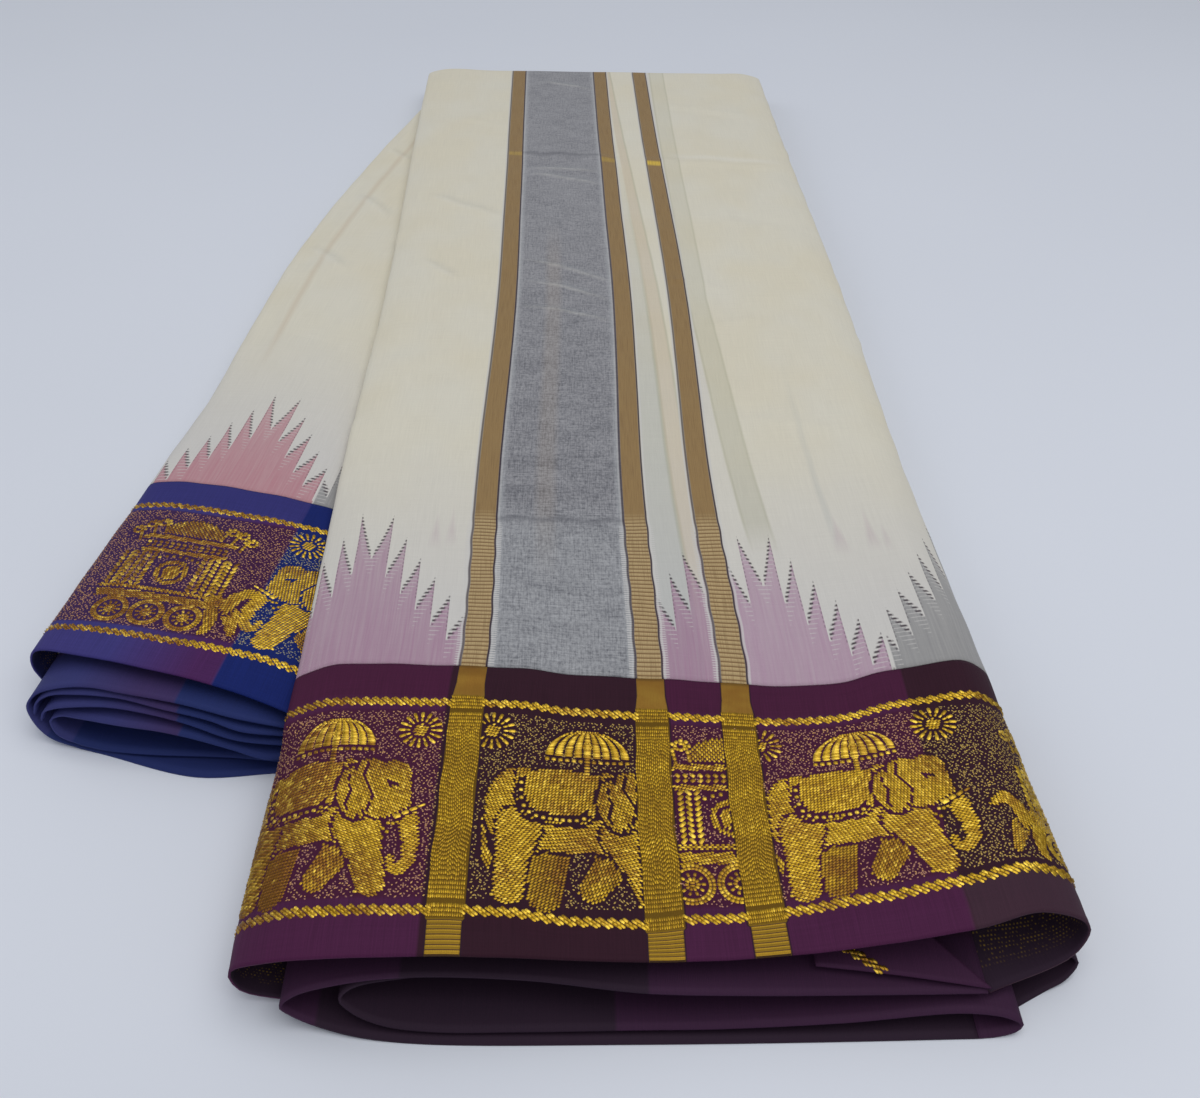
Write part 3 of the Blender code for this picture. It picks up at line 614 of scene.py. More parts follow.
LEAVES = dict(upper=6, lower=4)  # folded layers that show at a side
LEAF_DEPTH = 2.6  # how deep the gaps between them run in
LEAF_SAMPLES = 7
LEAF_ROUND = 0.96  # how far round its half circle a layer's edge runs
LEAF_UNEVEN = 0.2  # how much thicker or thinner than the mean a layer is, at most
LEAF_TURNS = dict(thick=2.3, reach=2.1)  # radians of these waves from one layer to the next
# Long waves in how far each layer reaches out: length along the strip, and reach.
LEAF_WAVES = ((97.0, 0.55), (41.0, 0.3), (233.0, 0.7))
# The hidden left side of the upper layers: points up it, depth of its waves, and how fast they turn upward
# and along, in radians a millimetre and in millimetres a radian.
LEFT_SIDE = dict(points=12, deep=1.2, up=1.4, long=31.0)
FLOOR_HIGH = 0.05  # height of the layers' underside over the table


def leaf_side(edge, lip, run, leaves, start):
    """The side of the layers from a fold's lip down to the table: one half round for each layer, as thick
    as the next within a fifth, reaching out by the table's columns and by waves of its own."""
    k = np.arange(leaves)[:, None]
    thick = 1 + LEAF_UNEVEN * np.sin(LEAF_TURNS["thick"] * k[:, 0] + start)
    foot = np.r_[0, np.cumsum(thick)] / thick.sum()
    top = lip - LIP_UNDER
    reach = np.interp(k / (leaves - 1), [0, 0.5, 1], [edge.high, edge.middle, edge.low])
    turn = LEAF_TURNS["reach"]
    waves = [deep * np.sin(2 * math.pi * run / long + turn * k + start + long) for long, deep in LEAF_WAVES]
    across = np.linspace(-1, 1, LEAF_SAMPLES)[None, :] * LEAF_ROUND
    out = reach + sum(waves) - LEAF_DEPTH * (1 - np.sqrt(1 - across**2))
    middle, half = 0.5 * (foot[1:] + foot[:-1]), 0.5 * np.diff(foot)
    height = top * (1 - middle[:, None] - half[:, None] * across)
    return out.ravel(), height.ravel()


def top_inside(curve, first, last):
    """The part of a section between two samples, moved in at right angles by the wall and its gap."""
    along = np.gradient(curve[:, :2], axis=0)
    along /= np.linalg.norm(along, axis=1)[:, None]
    inner = curve[:, :2] + np.stack([along[:, 1], -along[:, 0]], axis=1) * (SOLID_WALL + LAID)
    return inner[first : last + 1]


def upper_ring(run, top, way, edge):
    """One ring round the layers inside the upper half: up the left, over the top and down the right."""
    curve = section_curve(upper_section(top, run), COARSE)
    inner = top_inside(curve, *samples_at(UPPER_POINTS, COARSE, "bulge_left", "bulge_right"))
    lip, left_lip = STRIP - top.in_right - LIP_ROOM, top.in_left + LIP_ROOM
    across, height = leaf_side(edge, top.lip_right, run, LEAVES["upper"], 0.4)
    right = np.stack([STRIP + across, height], axis=1)
    up = np.linspace(0.15, top.lip_left - LIP_UNDER, LEFT_SIDE["points"])
    wave = abs(np.sin(up * LEFT_SIDE["up"] + run / LEFT_SIDE["long"]))
    left = np.stack([left_lip - LEFT_SIDE["deep"] * wave, up], axis=1)
    floor = [(left_lip + 1, FLOOR_HIGH), (STRIP + across[-1] - 1.0, FLOOR_HIGH)]
    bridge = [(left_lip, top.lip_left + LIP_ROOM)]
    under = [(lip, top.lip_right + LIP_ROOM), (lip, top.lip_right - LIP_UNDER)]
    ring = np.array([floor[0], *left, *bridge, *inner, *under, *right, floor[1]])
    return on_strip(way, ring[:, 0], ring[:, 1])


def lower_ring(run, top, way, edge):
    """One ring round the layers inside the lower half, whose right end is hidden in the upper half's."""
    curve, end = lower_curve(top, way, COARSE)
    inner = top_inside(curve, *samples_at(LOWER_POINTS, COARSE, "arch", "end"))
    across, height = leaf_side(edge, top.lip_left, run, LEAVES["lower"], 1.9)
    left = np.stack([-across, height], axis=1)[::-1]
    end += HIDDEN_END
    floor = [(-across[-1] + 1.0, FLOOR_HIGH), (end, FLOOR_HIGH)]
    bridge = [(top.in_left, top.lip_left + LIP_ROOM)]
    ring = np.array([floor[0], *left, *bridge, *inner, (end, inner[-1, 1]), floor[1]])
    return on_strip(way, ring[:, 0], ring[:, 1])


def capped(rings):
    """Points and four-cornered faces of a closed skin over the rings, with a fan of slivers at both ends."""
    deep, wide = rings.shape[:2]
    middles = rings[[0, -1]].mean(axis=1)
    points = np.concatenate([rings.reshape(-1, 3), middles])
    skin = grid_faces(deep, wide, closed=True)
    first, last = np.arange(wide), np.arange(wide) + (deep - 1) * wide
    near = np.stack([np.roll(first, -1), first, np.full(wide, deep * wide)], axis=1)
    far = np.stack([last, np.roll(last, -1), np.full(wide, deep * wide + 1)], axis=1)
    return points, skin, np.concatenate([near, far])


def layered_piece(name, rings, runs, materials, finish, *nodes):
    """A piece from rings: a closed skin in triangles, whose place on the cloth is the ring's run and the
    number of the point round it."""
    points, skin, ends = capped(rings)
    triangles = np.concatenate([skin[:, [0, 1, 2]], skin[:, [0, 2, 3]], ends])
    wide = rings.shape[1]
    v = np.r_[np.repeat(runs, wide), runs[0], runs[-1]]
    u = np.r_[np.tile(np.arange(wide, dtype=float), len(runs)), 0, 0]
    mesh = mesh_of(name, placed(points), triangles, np.stack([u, v], axis=1))
    return piece_of(name, mesh, materials, finish, *nodes)


def round_turn(ring, past):
    """The last ring drawn on past the turn's axis, its height closing in on the half circle as it goes, and
    its sides moved in clear of the turned side folds."""
    way = UPPER_WAY[-1]
    lean = math.radians(way.lean)
    radius = TURN_RADIUS - SOLID_WALL - LAID
    half = math.sqrt(max(radius**2 - past**2, THINNEST**2))
    across = np.clip((ring[:, 0] - way.x) / math.cos(lean), NOSE_INSET, STRIP - NOSE_INSET)
    height = TURN_RADIUS + np.clip((ring[:, 2] - TURN_RADIUS) * half / radius, -half, half)
    end = on_strip(way, across, height)
    return end + (-past * math.sin(lean), past * math.cos(lean), 0.0)


# ---- gold thread ----

# Short floats of gold thread: where each lies on the cloth, its lay in degrees, its size and its tone.
Threads = namedtuple("Threads", "u v lay long wide high tone")

# A float is a lens with a short ridge: along, across and up, in shares of its size.
LENS = np.array([(-0.5, 0, 0), (-0.34, -0.5, 0), (0.34, -0.5, 0), (0.5, 0, 0), (0.34, 0.5, 0),
                 (-0.34, 0.5, 0), (-0.24, 0, 1), (0.24, 0, 1)])
LENS_FACES = np.array([
    (1, 2, 7), (1, 7, 6), (4, 5, 6), (4, 6, 7), (0, 1, 6), (5, 0, 6), (2, 3, 7), (3, 4, 7),
])
# A speck is a flat pyramid on a lozenge.
SPECK = np.array([(-0.5, 0, 0), (0, -0.5, 0), (0.5, 0, 0), (0, 0.5, 0), (0, 0, 1)])
SPECK_FACES = np.array([(0, 1, 4), (1, 2, 4), (2, 3, 4), (3, 0, 4)])

FLOAT_LONG = 1.8
FLOAT_WIDE = 0.76
FLOAT_HIGH = 0.34
FLOAT_SUNK = 0.04  # how far under the cloth's face a float's edge lies
PITCH_LONG = 1.62  # from one float to the next along its lay
PITCH_WIDE = 0.68  # and across it
OUTLINE = 0.42  # bare cloth left round a shape that lies over another
LINE_ROOM = 0.12  # and beside a bare line
EDGE_ROOM = 0.28  # how far inside a shape's edge the middles of its floats lie
EDGE_LONG = (0.75, 1.3)  # length of a float at the edge, and how much longer it is a millimetre further in


def threads(u, v, lay, long=FLOAT_LONG, wide=FLOAT_WIDE, high=FLOAT_HIGH, tone=1.0):
    """Floats at places on the cloth. Each of the other columns is given for every float, or once for all."""
    u = np.atleast_1d(np.asarray(u, float))
    rest = (np.broadcast_to(np.asarray(k, float), u.shape).copy() for k in (v, lay, long, wide, high, tone))
    return Threads(u, *rest)


def joined(parts):
    """All the floats of the parts, one after another."""
    return Threads(*(np.concatenate(columns) for columns in zip(*parts)))


def moved(work, u, v, flip=False):
    """The threads set down with their origin at a place on the cloth, mirrored where `flip`."""
    if flip:
        return work._replace(u=u - work.u, v=v + work.v, lay=-work.lay)
    return work._replace(u=u + work.u, v=v + work.v)


def swung(work, u, v, degrees):
    """The threads turned about their origin, and set down at a place on the cloth."""
    turn = math.radians(degrees)
    across = work.u * math.cos(turn) - work.v * math.sin(turn)
    along = work.u * math.sin(turn) + work.v * math.cos(turn)
    return work._replace(u=u + across, v=v + along, lay=work.lay + degrees)


def kept(work, keep):
    """The floats for which `keep` is true."""
    return Threads(*(column[keep] for column in work))


def on_circle(radius, degrees):
    """Places at angles round a circle about the origin."""
    turn = np.radians(degrees)
    return radius * np.cos(turn), radius * np.sin(turn)


# A shape is a function that tells about how far outside it the places (u, v) are, in millimetres, and less
# than nothing inside it. The functions below make such functions.
FAR = 1e3  # further than any place is from a shape


def ovals(*parts):
    """Ovals together, each (centre, radii, tilt in degrees): the least of their distances, which are counted
    in radii from the middle, less one, times the smaller radius."""

    def outside_one(u, v, centre, radii, tilt=0.0):
        """The distance from one oval, in its own turned directions."""
        c, s = math.cos(math.radians(tilt)), math.sin(math.radians(tilt))
        du, dv = u - centre[0], v - centre[1]
        return (np.hypot((du * c + dv * s) / radii[0], (dv * c - du * s) / radii[1]) - 1) * min(radii)

    return lambda u, v: np.minimum.reduce([outside_one(u, v, *part) for part in parts])


def limb(joints):
    """A chain of joints (u, v, half width): the distance from the nearest line between two of them, less the
    half width there, which tapers from one to the next."""

    def outside(u, v):
        """The least of the distances from all the links."""
        least = np.full(np.shape(u), FAR)
        for (u0, v0, w0), (u1, v1, w1) in zip(joints, joints[1:]):
            du, dv = u1 - u0, v1 - v0
            share = np.clip(((u - u0) * du + (v - v0) * dv) / (du * du + dv * dv), 0, 1)
            away = np.hypot(u - u0 - share * du, v - v0 - share * dv) - (w0 + share * (w1 - w0))
            least = np.minimum(least, away)
        return least

    return outside


def block(low, high):
    """A box between two corners: the greatest of the distances past its four sides."""
    return lambda u, v: np.maximum(np.maximum(low[0] - u, u - high[0]), np.maximum(low[1] - v, v - high[1]))


def squared_oval(middle, reach):
    """An oval whose fourth powers add to one, so that its sides are nearly straight."""

    def outside(u, v):
        """The fourth root of the sum of the fourth powers, less one, times the reach across."""
        power = ((u - middle[0]) / reach[0]) ** 4 + ((v - middle[1]) / reach[1]) ** 4
        return (power**0.25 - 1) * reach[0]

    return outside


# A shape filled with floats: its function, the lay of its floats in degrees, how widely they are spaced, and
# their tone. One with no spacing only clears what lies below it.
Shape = namedtuple("Shape", "outside lay spread tone", defaults=(1.0, 1.0))


def filled(shapes, low, high):
    """Floats in brick rows along each shape's lay, left out where a later shape covers them or its outline
    runs, and shortened towards the shape's own edge."""
    parts = []
    middle = 0.5 * (np.array(low) + np.array(high))
    reach = 0.5 * float(np.hypot(*(np.array(high) - np.array(low))))
    for k, shape in enumerate(shapes):
        if not shape.spread:
            continue
        along = np.arange(-reach, reach, PITCH_LONG * shape.spread)
        across = np.arange(-reach, reach, PITCH_WIDE * shape.spread)
        a, b = np.meshgrid(along, across)
        a[1::2] += 0.5 * PITCH_LONG * shape.spread
        turn = math.radians(shape.lay)
        u = (middle[0] + a * math.cos(turn) - b * math.sin(turn)).ravel()
        v = (middle[1] + a * math.sin(turn) + b * math.cos(turn)).ravel()
        inside = -shape.outside(u, v)
        keep = inside > EDGE_ROOM
        for later in shapes[k + 1 :]:
            keep &= later.outside(u, v) > (OUTLINE if later.spread else LINE_ROOM)
        long = np.minimum(FLOAT_LONG, EDGE_LONG[0] + EDGE_LONG[1] * inside)
        work = threads(u, v, shape.lay, long, tone=shape.tone)
        parts.append(kept(work, keep))
    return joined(parts)


def bare(outside):
    """A shape with no floats of its own, which clears what lies below it."""
    return Shape(outside, 0, 0)


def line_of(outside, half=0.3):
    """A thin bare line along the edge of a shape: the size of the distance from it, less a half width."""
    return bare(lambda u, v: abs(outside(u, v)) - half)


# An elephant that walks to the right, in millimetres from the ground below its rump: limbs as joints (u, v,
# half width), and ovals as (centre, radii, tilt).
TAIL = ((3.2, 36, 1.1), (1.2, 27, 1.0), (1.4, 18, 1.0), (3.0, 12.4, 1.9), (4.0, 9.6, 1.2))
FAR_HIND_LEG = ((21.0, 22, 7.2), (19.6, 9, 5.6), (18.8, 1.9, 5.2))
FAR_FORELEG = ((39.4, 20, 5.6), (37.6, 12.6, 5.2), (32.4, 5.0, 4.3))
NEAR_HIND_LEG = ((11.4, 24, 7.0), (9.6, 12, 5.0), (9.2, 2.2, 4.7))
NEAR_FORELEG = ((42.4, 23, 7.8), (46.6, 12.4, 5.5), (49.4, 3.4, 4.8))
TRUNK = (
    (54.4, 31.0, 4.4), (58.2, 24.2, 3.5), (60.0, 16.6, 2.9), (59.7, 10.8, 2.5), (57.2, 7.4, 2.1),
    (54.8, 8.2, 1.8), (54.4, 11.4, 1.5),
)
TUSK = ((53.4, 25.2, 1.1), (63.0, 30.0, 0.9))
BACK = (((24.4, 31.4), (23.4, 15.2)), ((12.2, 30.0), (11.6, 16.0)), ((36.4, 31.4), (12.0, 15.0)))
SKULL = (
    ((49.2, 34.6), (9.0, 10.0)), ((44.0, 42.2), (5.0, 4.4)), ((52.0, 40.8), (5.6, 5.4)),
    ((53.8, 31.4), (4.8, 7.2)), ((40.2, 33.8), (6.0, 9.8), 14),
)
EAR_FRONT = (
    (43.4, 45.0, 0.3), (42.0, 40.6, 0.3), (44.6, 36.2, 0.3), (46.2, 31.4, 0.3), (44.6, 27.6, 0.3),
    (41.6, 25.4, 0.3),
)
EAR_FOLD = (
    (39.6, 43.4, 0.24), (37.6, 38.6, 0.24), (38.8, 34.0, 0.24), (37.6, 29.8, 0.24), (39.4, 27.2, 0.24),
)
EYE = ((51.6, 37.4), (1.5, 0.9), -15)
SADDLE = dict(middle=(22.4, 42.4), reach=(12.8, 16.4), hem=1.75, hem_half=0.98)
UMBRELLA_AT = (31.2, 46.0)


def elephant():
    """An elephant walking to the right under an umbrella, 64 mm long, its feet at zero: its limbs and ovals
    filled with floats from the far ones to the near ones, a beaded cloth on its back, and a beaded tusk."""
    middle, reach = SADDLE["middle"], SADDLE["reach"]
    body, cloth = ovals(*BACK), squared_oval(middle, reach)

    def saddle(u, v):
        """The cloth on its back, as far as it lies over the body."""
        return np.maximum(cloth(u, v), body(u, v) + 0.3)

    def hem(u, v):
        """A bare band round the cloth's front and lower sides."""
        open_side = np.maximum(u - middle[0] - 0.75 * reach[0], v - middle[1] + 0.5)
        band = abs(cloth(u, v) + SADDLE["hem"]) - SADDLE["hem_half"]
        return np.maximum(np.maximum(band, body(u, v) + 0.3), open_side)

    shapes = [
        Shape(limb(TAIL), 78),
        Shape(limb(FAR_HIND_LEG), 40, tone=0.8),
        Shape(limb(FAR_FORELEG), 62, tone=0.95),
        Shape(body, -28),
        Shape(limb(NEAR_HIND_LEG), 16),
        Shape(limb(NEAR_FORELEG), -24),
        Shape(saddle, 45),
        bare(hem),
        Shape(limb(TRUNK), 12),
        Shape(ovals(*SKULL), -62),
        bare(limb(EAR_FRONT)),
        bare(limb(EAR_FOLD)),
        bare(limb(TUSK)),
        bare(ovals(EYE)),
    ]
    work = [filled(shapes, (-4, -1), (67, 50))]
    turns = np.radians(np.linspace(182, 318, 15))
    corner = (abs(np.cos(turns)) ** 4 + abs(np.sin(turns)) ** 4) ** 0.25
    beads_u = middle[0] + (reach[0] - SADDLE["hem"]) * np.cos(turns) / corner
    beads_v = middle[1] + (reach[1] - SADDLE["hem"]) * np.sin(turns) / corner
    work.append(threads(beads_u, beads_v, 90, 1.4, 1.35, 0.45, 1.15))
    tusk_u, tusk_v = np.linspace(54.6, 61.8, 4), np.linspace(25.8, 29.4, 4)
    work.append(threads(tusk_u, tusk_v, 27, 2.7, (1.7, 1.5, 1.3, 0.9), 0.46, 1.15))
    neck = np.linspace(0, 1, 6)
    for drop in (0.0, 3.0):
        beads = 24.2 - drop - 4.2 * np.sin(math.pi * neck) + 2 * neck
        work.append(threads(46.6 + 7.0 * neck, beads, 90, 1.3, 1.25, 0.42))
    for foot in (4.8, 45.4):
        work.append(threads(foot + 1.9 * np.arange(4), 0.6, 90, 1.1, 1.3, 0.34, 1.1))
    work.append(moved(umbrella(), *UMBRELLA_AT))
    return joined(work)


UMBRELLA = dict(half=13.2, high=8.7, panels=9, rows=16, rim=7.2, scallop=1.8, lean=-52)


def umbrella():
    """A fluted umbrella on its pole: each panel is satin stitch between two ribs, whose width follows half
    an oval, with a row of beads hung below the rim."""
    panels, rows = UMBRELLA["panels"], UMBRELLA["rows"]
    p, y = np.meshgrid((np.arange(panels) + 0.5) / panels * 2 - 1, (np.arange(rows) + 0.4) / rows)
    half = UMBRELLA["half"] * np.sqrt(1 - y**2)
    scallop = UMBRELLA["scallop"] * (1 - y) * np.sin(math.pi * panels * 0.5 * (p + 1)) ** 2
    u, v = p * half, UMBRELLA["rim"] + UMBRELLA["high"] * y - scallop
    lay = UMBRELLA["lean"] * p * y
    long = np.maximum(2 * half / panels * 1.02, 0.6)
    work = [threads(u.ravel(), v.ravel(), lay.ravel(), long.ravel(), 0.86, 0.46, 1.1)]
    work.append(threads(np.linspace(-12.4, 12.4, 13), 3.8, 90, 1.5, 1.5, 0.42, 1.05))
    work.append(threads(np.zeros(9), np.linspace(-3.0, 6.0, 9), 0, 2.2, 1.0, 0.36))
    ring = np.arange(0, 360, 40)
    ring_u, ring_v = on_circle(1.2, ring)
    work.append(threads(ring_u, 9.6 + ring_v, ring + 90, 1.0, 0.6, 0.7, 1.1))
    return joined(work)


def sun(rays=16):
    """A small sun: a disc of floats, and a ring of rays that are one or two floats each."""
    disc = filled([Shape(ovals(((0, 0), (2.8, 2.8))), 30)], (-3, -3), (3, 3))
    turn = np.linspace(0, 360, rays, endpoint=False)
    inner = threads(*on_circle(4.2, turn), turn, 1.9, 0.8, 0.36)
    outer = threads(*on_circle(6.1, turn), turn, 2.7, 1.2, 0.44, 1.08)
    return joined([disc, inner, outer])


def wheel(radius, spokes=10):
    """A car's wheel: two rings of floats end to end for its rim, two floats for each spoke, and a hub."""
    turn = np.linspace(0, 360, int(2 * math.pi * radius / 1.3), endpoint=False)
    spoke = np.linspace(0, 360, spokes, endpoint=False)
    parts = []
    for at, wide in ((radius, 1.3), (radius - 1.15, 1.1)):
        parts.append(threads(*on_circle(at, turn), turn + 90, 1.5, wide))
    for at in (1.7, 3.3):
        parts.append(threads(*on_circle(at, spoke), spoke, 1.6, 1.05))
    parts.append(threads([0, 0], [-0.5, 0.5], 0, 1.8, 0.9))
    return joined(parts)


def leaf_string(high):
    """A post wound with leaves: pairs of floats that lean out from a stem."""
    v = np.arange(0.8, high, 2.0)
    left = threads(np.full(len(v), -1.35), v, 132, 2.8, 1.4, 0.4, 1.08)
    right = threads(np.full(len(v), 1.35), v, 48, 2.8, 1.4, 0.4, 1.08)
    return joined([left, right])


def curl(turns=1.25, size=2.6):
    """A finial that coils in on itself: floats along a spiral over a short stem."""
    share = np.linspace(0, 1, 11)
    turn = share * turns * 360
    u, v = on_circle(size * (1 - 0.62 * share), turn)
    stem_u, stem_v = size - 0.3 * np.arange(4), np.linspace(0.4, 5.2, 4)
    stem = threads(stem_u, stem_v, 92, 1.9, 1.35, 0.36)
    return joined([threads(u, v + 6.0, turn + 90, 1.6, 1.35, 0.38, 1.08), stem])


# A temple car, in millimetres from the ground below its middle.
POSTS = (-20.8, -16.4, -11.2, 11.2, 16.4, 20.8)
WHEELS = (-14.2, 0.0, 14.2)
CURLS = ((14.0, 51.4), (18.6, 50.4), (23.0, 47.0))
DOME = ((0, 51.4), (12.5, 10.4))
POT = ((0, 29.8), (6.6, 7.4))
HORSE_CHEST = ((22, 17, 4.4), (27, 16, 4.6), (30.5, 11, 3.4), (33.0, 3.2, 1.8))
HORSE_NECK = ((26, 15, 3.8), (28.5, 22, 3.0), (32.0, 25.5, 2.6), (36.0, 23.2, 1.7))
HORSE_LEG = ((23, 12, 3.2), (24.5, 6, 2.4), (23.5, 1.4, 2.0))


def chariot():
    """A canopied temple car on three wheels, its posts wound with leaves, with a horse's forepart at its
    right: boxes, a half oval and limbs filled with floats."""
    dome, pot = ovals(DOME), ovals(POT)
    car = [
        Shape(block((-19.5, 47.6), (19.5, 50.6)), 32),
        Shape(block((-17.5, 39.9), (17.5, 42.7)), 28),
        Shape(block((-24, 13.2), (24, 17.8)), -30),
        Shape(block((-25, 18.3), (25, 20.4)), 0),
        Shape(lambda u, v: np.maximum(dome(u, v), DOME[0][1] - v), 90, 1.1),
    ]
    inside = [Shape(pot, 62), line_of(lambda u, v: pot(u, v) + 2.6)]
    horse = [Shape(limb(HORSE_CHEST), -38), Shape(limb(HORSE_NECK), 52), Shape(limb(HORSE_LEG), 70)]
    parts = [filled(car, (-26, 12), (26, 62)), filled(inside, (-8, 20), (8, 39))]
    parts.append(filled(horse, (18, -1), (40, 31)))
    dots = np.arange(-15.6, 16, 2.4)
    for row, lean in ((44.0, 45), (45.9, -45)):
        parts.append(threads(dots, row, lean, 2.0, 1.4, 0.38))
    for u in POSTS:
        parts.append(moved(leaf_string(19.0), u, 20.6))
    for u in WHEELS:
        parts.append(moved(wheel(6.4), u, 6.9))
    for u, v in CURLS:
        parts.append(moved(curl(), u, v, flip=True))
        parts.append(moved(curl(), -u, v))
    ray = np.linspace(-1, 1, 7)
    parts.append(threads(7.6 * ray, 38.9 - 1.8 * ray**2, 90, 1.7, 1.3, 0.36))
    return joined(parts)


ROPE_PITCH = 3.3  # from one strand of a rope to the next
ROPE_LAY = -38.0
ROPE_FLOATS = dict(step=1.5, offset=0.4, aside=0.9, middle_high=0.55, high=0.36)


def rope(v, u0, u1):
    """A twisted rope: slanting strands side by side, each of two rows of three floats laid end to end, the
    middle ones higher."""
    start, step, side = np.meshgrid(np.arange(u0, u1, ROPE_PITCH), (-1, 0, 1), (-0.5, 0.5), indexing="ij")
    lay = math.radians(ROPE_LAY)
    along = ROPE_FLOATS["step"] * step + ROPE_FLOATS["offset"] * side
    aside = ROPE_FLOATS["aside"] * side
    u = start + along * math.cos(lay) - aside * math.sin(lay)
    work_v = v + along * math.sin(lay) + aside * math.cos(lay)
    high = np.where(step == 0, ROPE_FLOATS["middle_high"], ROPE_FLOATS["high"])
    return threads(u.ravel(), work_v.ravel(), ROPE_LAY, 2.25, 1.0, high.ravel(), 1.04)


STRIPE_LONG = 1.42  # from one float of a raised stripe to the next along it
STRIPE_WIDE = 0.62  # and from one column to the next
WANDER = (22.0, 80.0, 7.0)  # runs between which its floats wander, and how far in that has set in
PATCH = (34.0, 18.0)  # where they wander most, and how fast that dies away
BARE_LINES = (16.7, 84.9)  # where a bare line crosses a raised stripe, beside each rope


def stripe_floats(centre, half, v0, v1):
    """A stripe laid solid with floats along it, each column started at its own place. Their lay wanders in
    patches as the figures beside the stripe pull it, and a bare line is left beside each rope."""
    at = np.arange(-half + 0.35, half - 0.2, STRIPE_WIDE)
    rows = np.arange(v0 + 0.7, v1 - 0.5, STRIPE_LONG)
    v, u = np.meshgrid(rows, at)
    start, end, soft = WANDER
    loose = np.clip(np.minimum(v - start, end - v) / soft, 0.0, 1.0)
    shuffle = np.random.default_rng(round(centre)).permutation(len(at)) / len(at)
    v += STRIPE_LONG * loose * shuffle[:, None]
    patch = np.clip(1.2 - abs(v - PATCH[0]) / PATCH[1], 0.12, 1.0)
    swing = 30 * loose * patch * np.sin(v / 5.3 + 2.1 * np.sin(u / 2.4 + centre) + centre)
    tone = 0.82 + 0.10 * np.sin(v / 3.1 + centre) * np.sin(v / 8.3)
    edge = 0.35 * loose * np.sin(v / 3.7 + centre)
    place = (centre + u + edge).ravel()
    work = threads(place, v.ravel(), 90 + swing.ravel(), 1.62, 0.62, 0.26, tone.ravel())
    beside = np.minimum(abs(work.v - BARE_LINES[0]), abs(work.v - BARE_LINES[1]))
    return kept(work, (beside > 0.7) & (work.v < v1 - 0.3))


GROUND_PITCH = 0.7
LATTICE = 6  # steps across a lozenge of the ground's lattice
ON_LINE = LATTICE // 2  # steps from a lozenge's middle to its sides
STRAY = 0.2  # share of the places between the lattice's lines that bear a speck
LEFT_IN = 0.93  # share of the specks that are left in


def specks(u0, u1, v0, v1, clear_of):
    """The ground of tiny specks, kept clear of the motifs: they stand on the lines of a lattice of lozenges,
    six steps across, with one in the middle of each and a few between. Each is a little off its place."""
    chance = np.random.default_rng(round(u1))
    rows, at = (np.arange(low, high, GROUND_PITCH) for low, high in ((v0, v1), (u0, u1)))
    u, v = np.meshgrid(at, rows)
    row, column = (abs(np.arange(len(k)) % LATTICE - ON_LINE) for k in (rows, at))
    away = row[:, None] + column[None, :]
    line = away == ON_LINE
    on = line | (away == 0) | (away == LATTICE) | (chance.random(away.shape) < STRAY)
    size = np.where(line, 0.92, 1.1) * chance.uniform(0.7, 1.35, away.shape)
    rising = (np.arange(len(rows))[:, None] // ON_LINE + np.arange(len(at))[None, :] // ON_LINE) % 2
    lay = np.where(rising == 0, 45.0, -45.0)
    count = int(on.sum())
    tone = chance.uniform(0.8, 1.14, count)
    place_u = u[on] + chance.normal(0, 0.13, count)
    place_v = v[on] + chance.normal(0, 0.11, count)
    turned_lay = lay[on] + chance.normal(0, 14, count)
    work = threads(place_u, place_v, turned_lay, size[on], 0.66, 0.2, tone)
    return kept(work, ~covered(work, clear_of) & (chance.random(count) < LEFT_IN))


def covered(work, by, cell=1.25):
    """Which threads lie within about a cell of any of the others: both are counted into square cells, whose
    two numbers are made into one."""
    span, shift = 4096, 512

    def key(u, v):
        """The number of the cell that holds each place."""
        return (np.floor(u / cell).astype(int) + shift) * span + np.floor(v / cell).astype(int) + shift

    taken = [key(by.u + du, by.v + dv) for du in (-0.5, 0.5) for dv in (-0.45, 0.45)]
    return np.isin(key(work.u, work.v), np.unique(np.concatenate(taken)))


def sew_on(grid, work, margin=0.7):
    """Puts each float on the cloth's outer surface. A row of the grid is read by the place across, and the
    two rows beside a float are blended: adding a large step for each row makes all rows one table."""
    runs, step = grid.v[:, 0], 1e4
    at = np.clip(np.interp(work.v, runs, np.arange(len(runs))), 0, len(runs) - 1.001)
    row = at.astype(int)
    low = np.maximum(grid.u[row, 0], grid.u[row + 1, 0]) + margin
    high = np.minimum(grid.u[row, -1], grid.u[row + 1, -1]) - margin
    keep = (work.u > low) & (work.u < high) & (work.v > runs[0] + 0.2) & (work.v < runs[-1] - 0.2)
    work, row, blend = kept(work, keep), row[keep], (at - at.astype(int))[keep][:, None]
    keys = (grid.u + step * np.arange(len(runs))[:, None]).ravel()

    def read(table):
        """The table's value at each float: straight between the points across, then between the rows."""
        columns = table.reshape(-1, 3).T
        near = np.stack([np.interp(work.u + step * row, keys, c) for c in columns], axis=1)
        far = np.stack([np.interp(work.u + step * (row + 1), keys, c) for c in columns], axis=1)
        return near * (1 - blend) + far * blend

    place, up = read(grid.points), read(normals_of(grid.points))
    up /= np.linalg.norm(up, axis=1)[:, None]
    forward = read(np.gradient(grid.points, axis=0))
    across = np.cross(forward, up)
    across /= np.linalg.norm(across, axis=1)[:, None]
    forward = np.cross(up, across)
    return work, place, across, forward, up


# How unlike each other the floats are: spread of the lay in degrees, ranges of length and height in shares,
# and spread of the tone.
UNEVEN = dict(lay=3.5, long=(0.9, 1.06), high=(0.8, 1.2), tone=0.13)


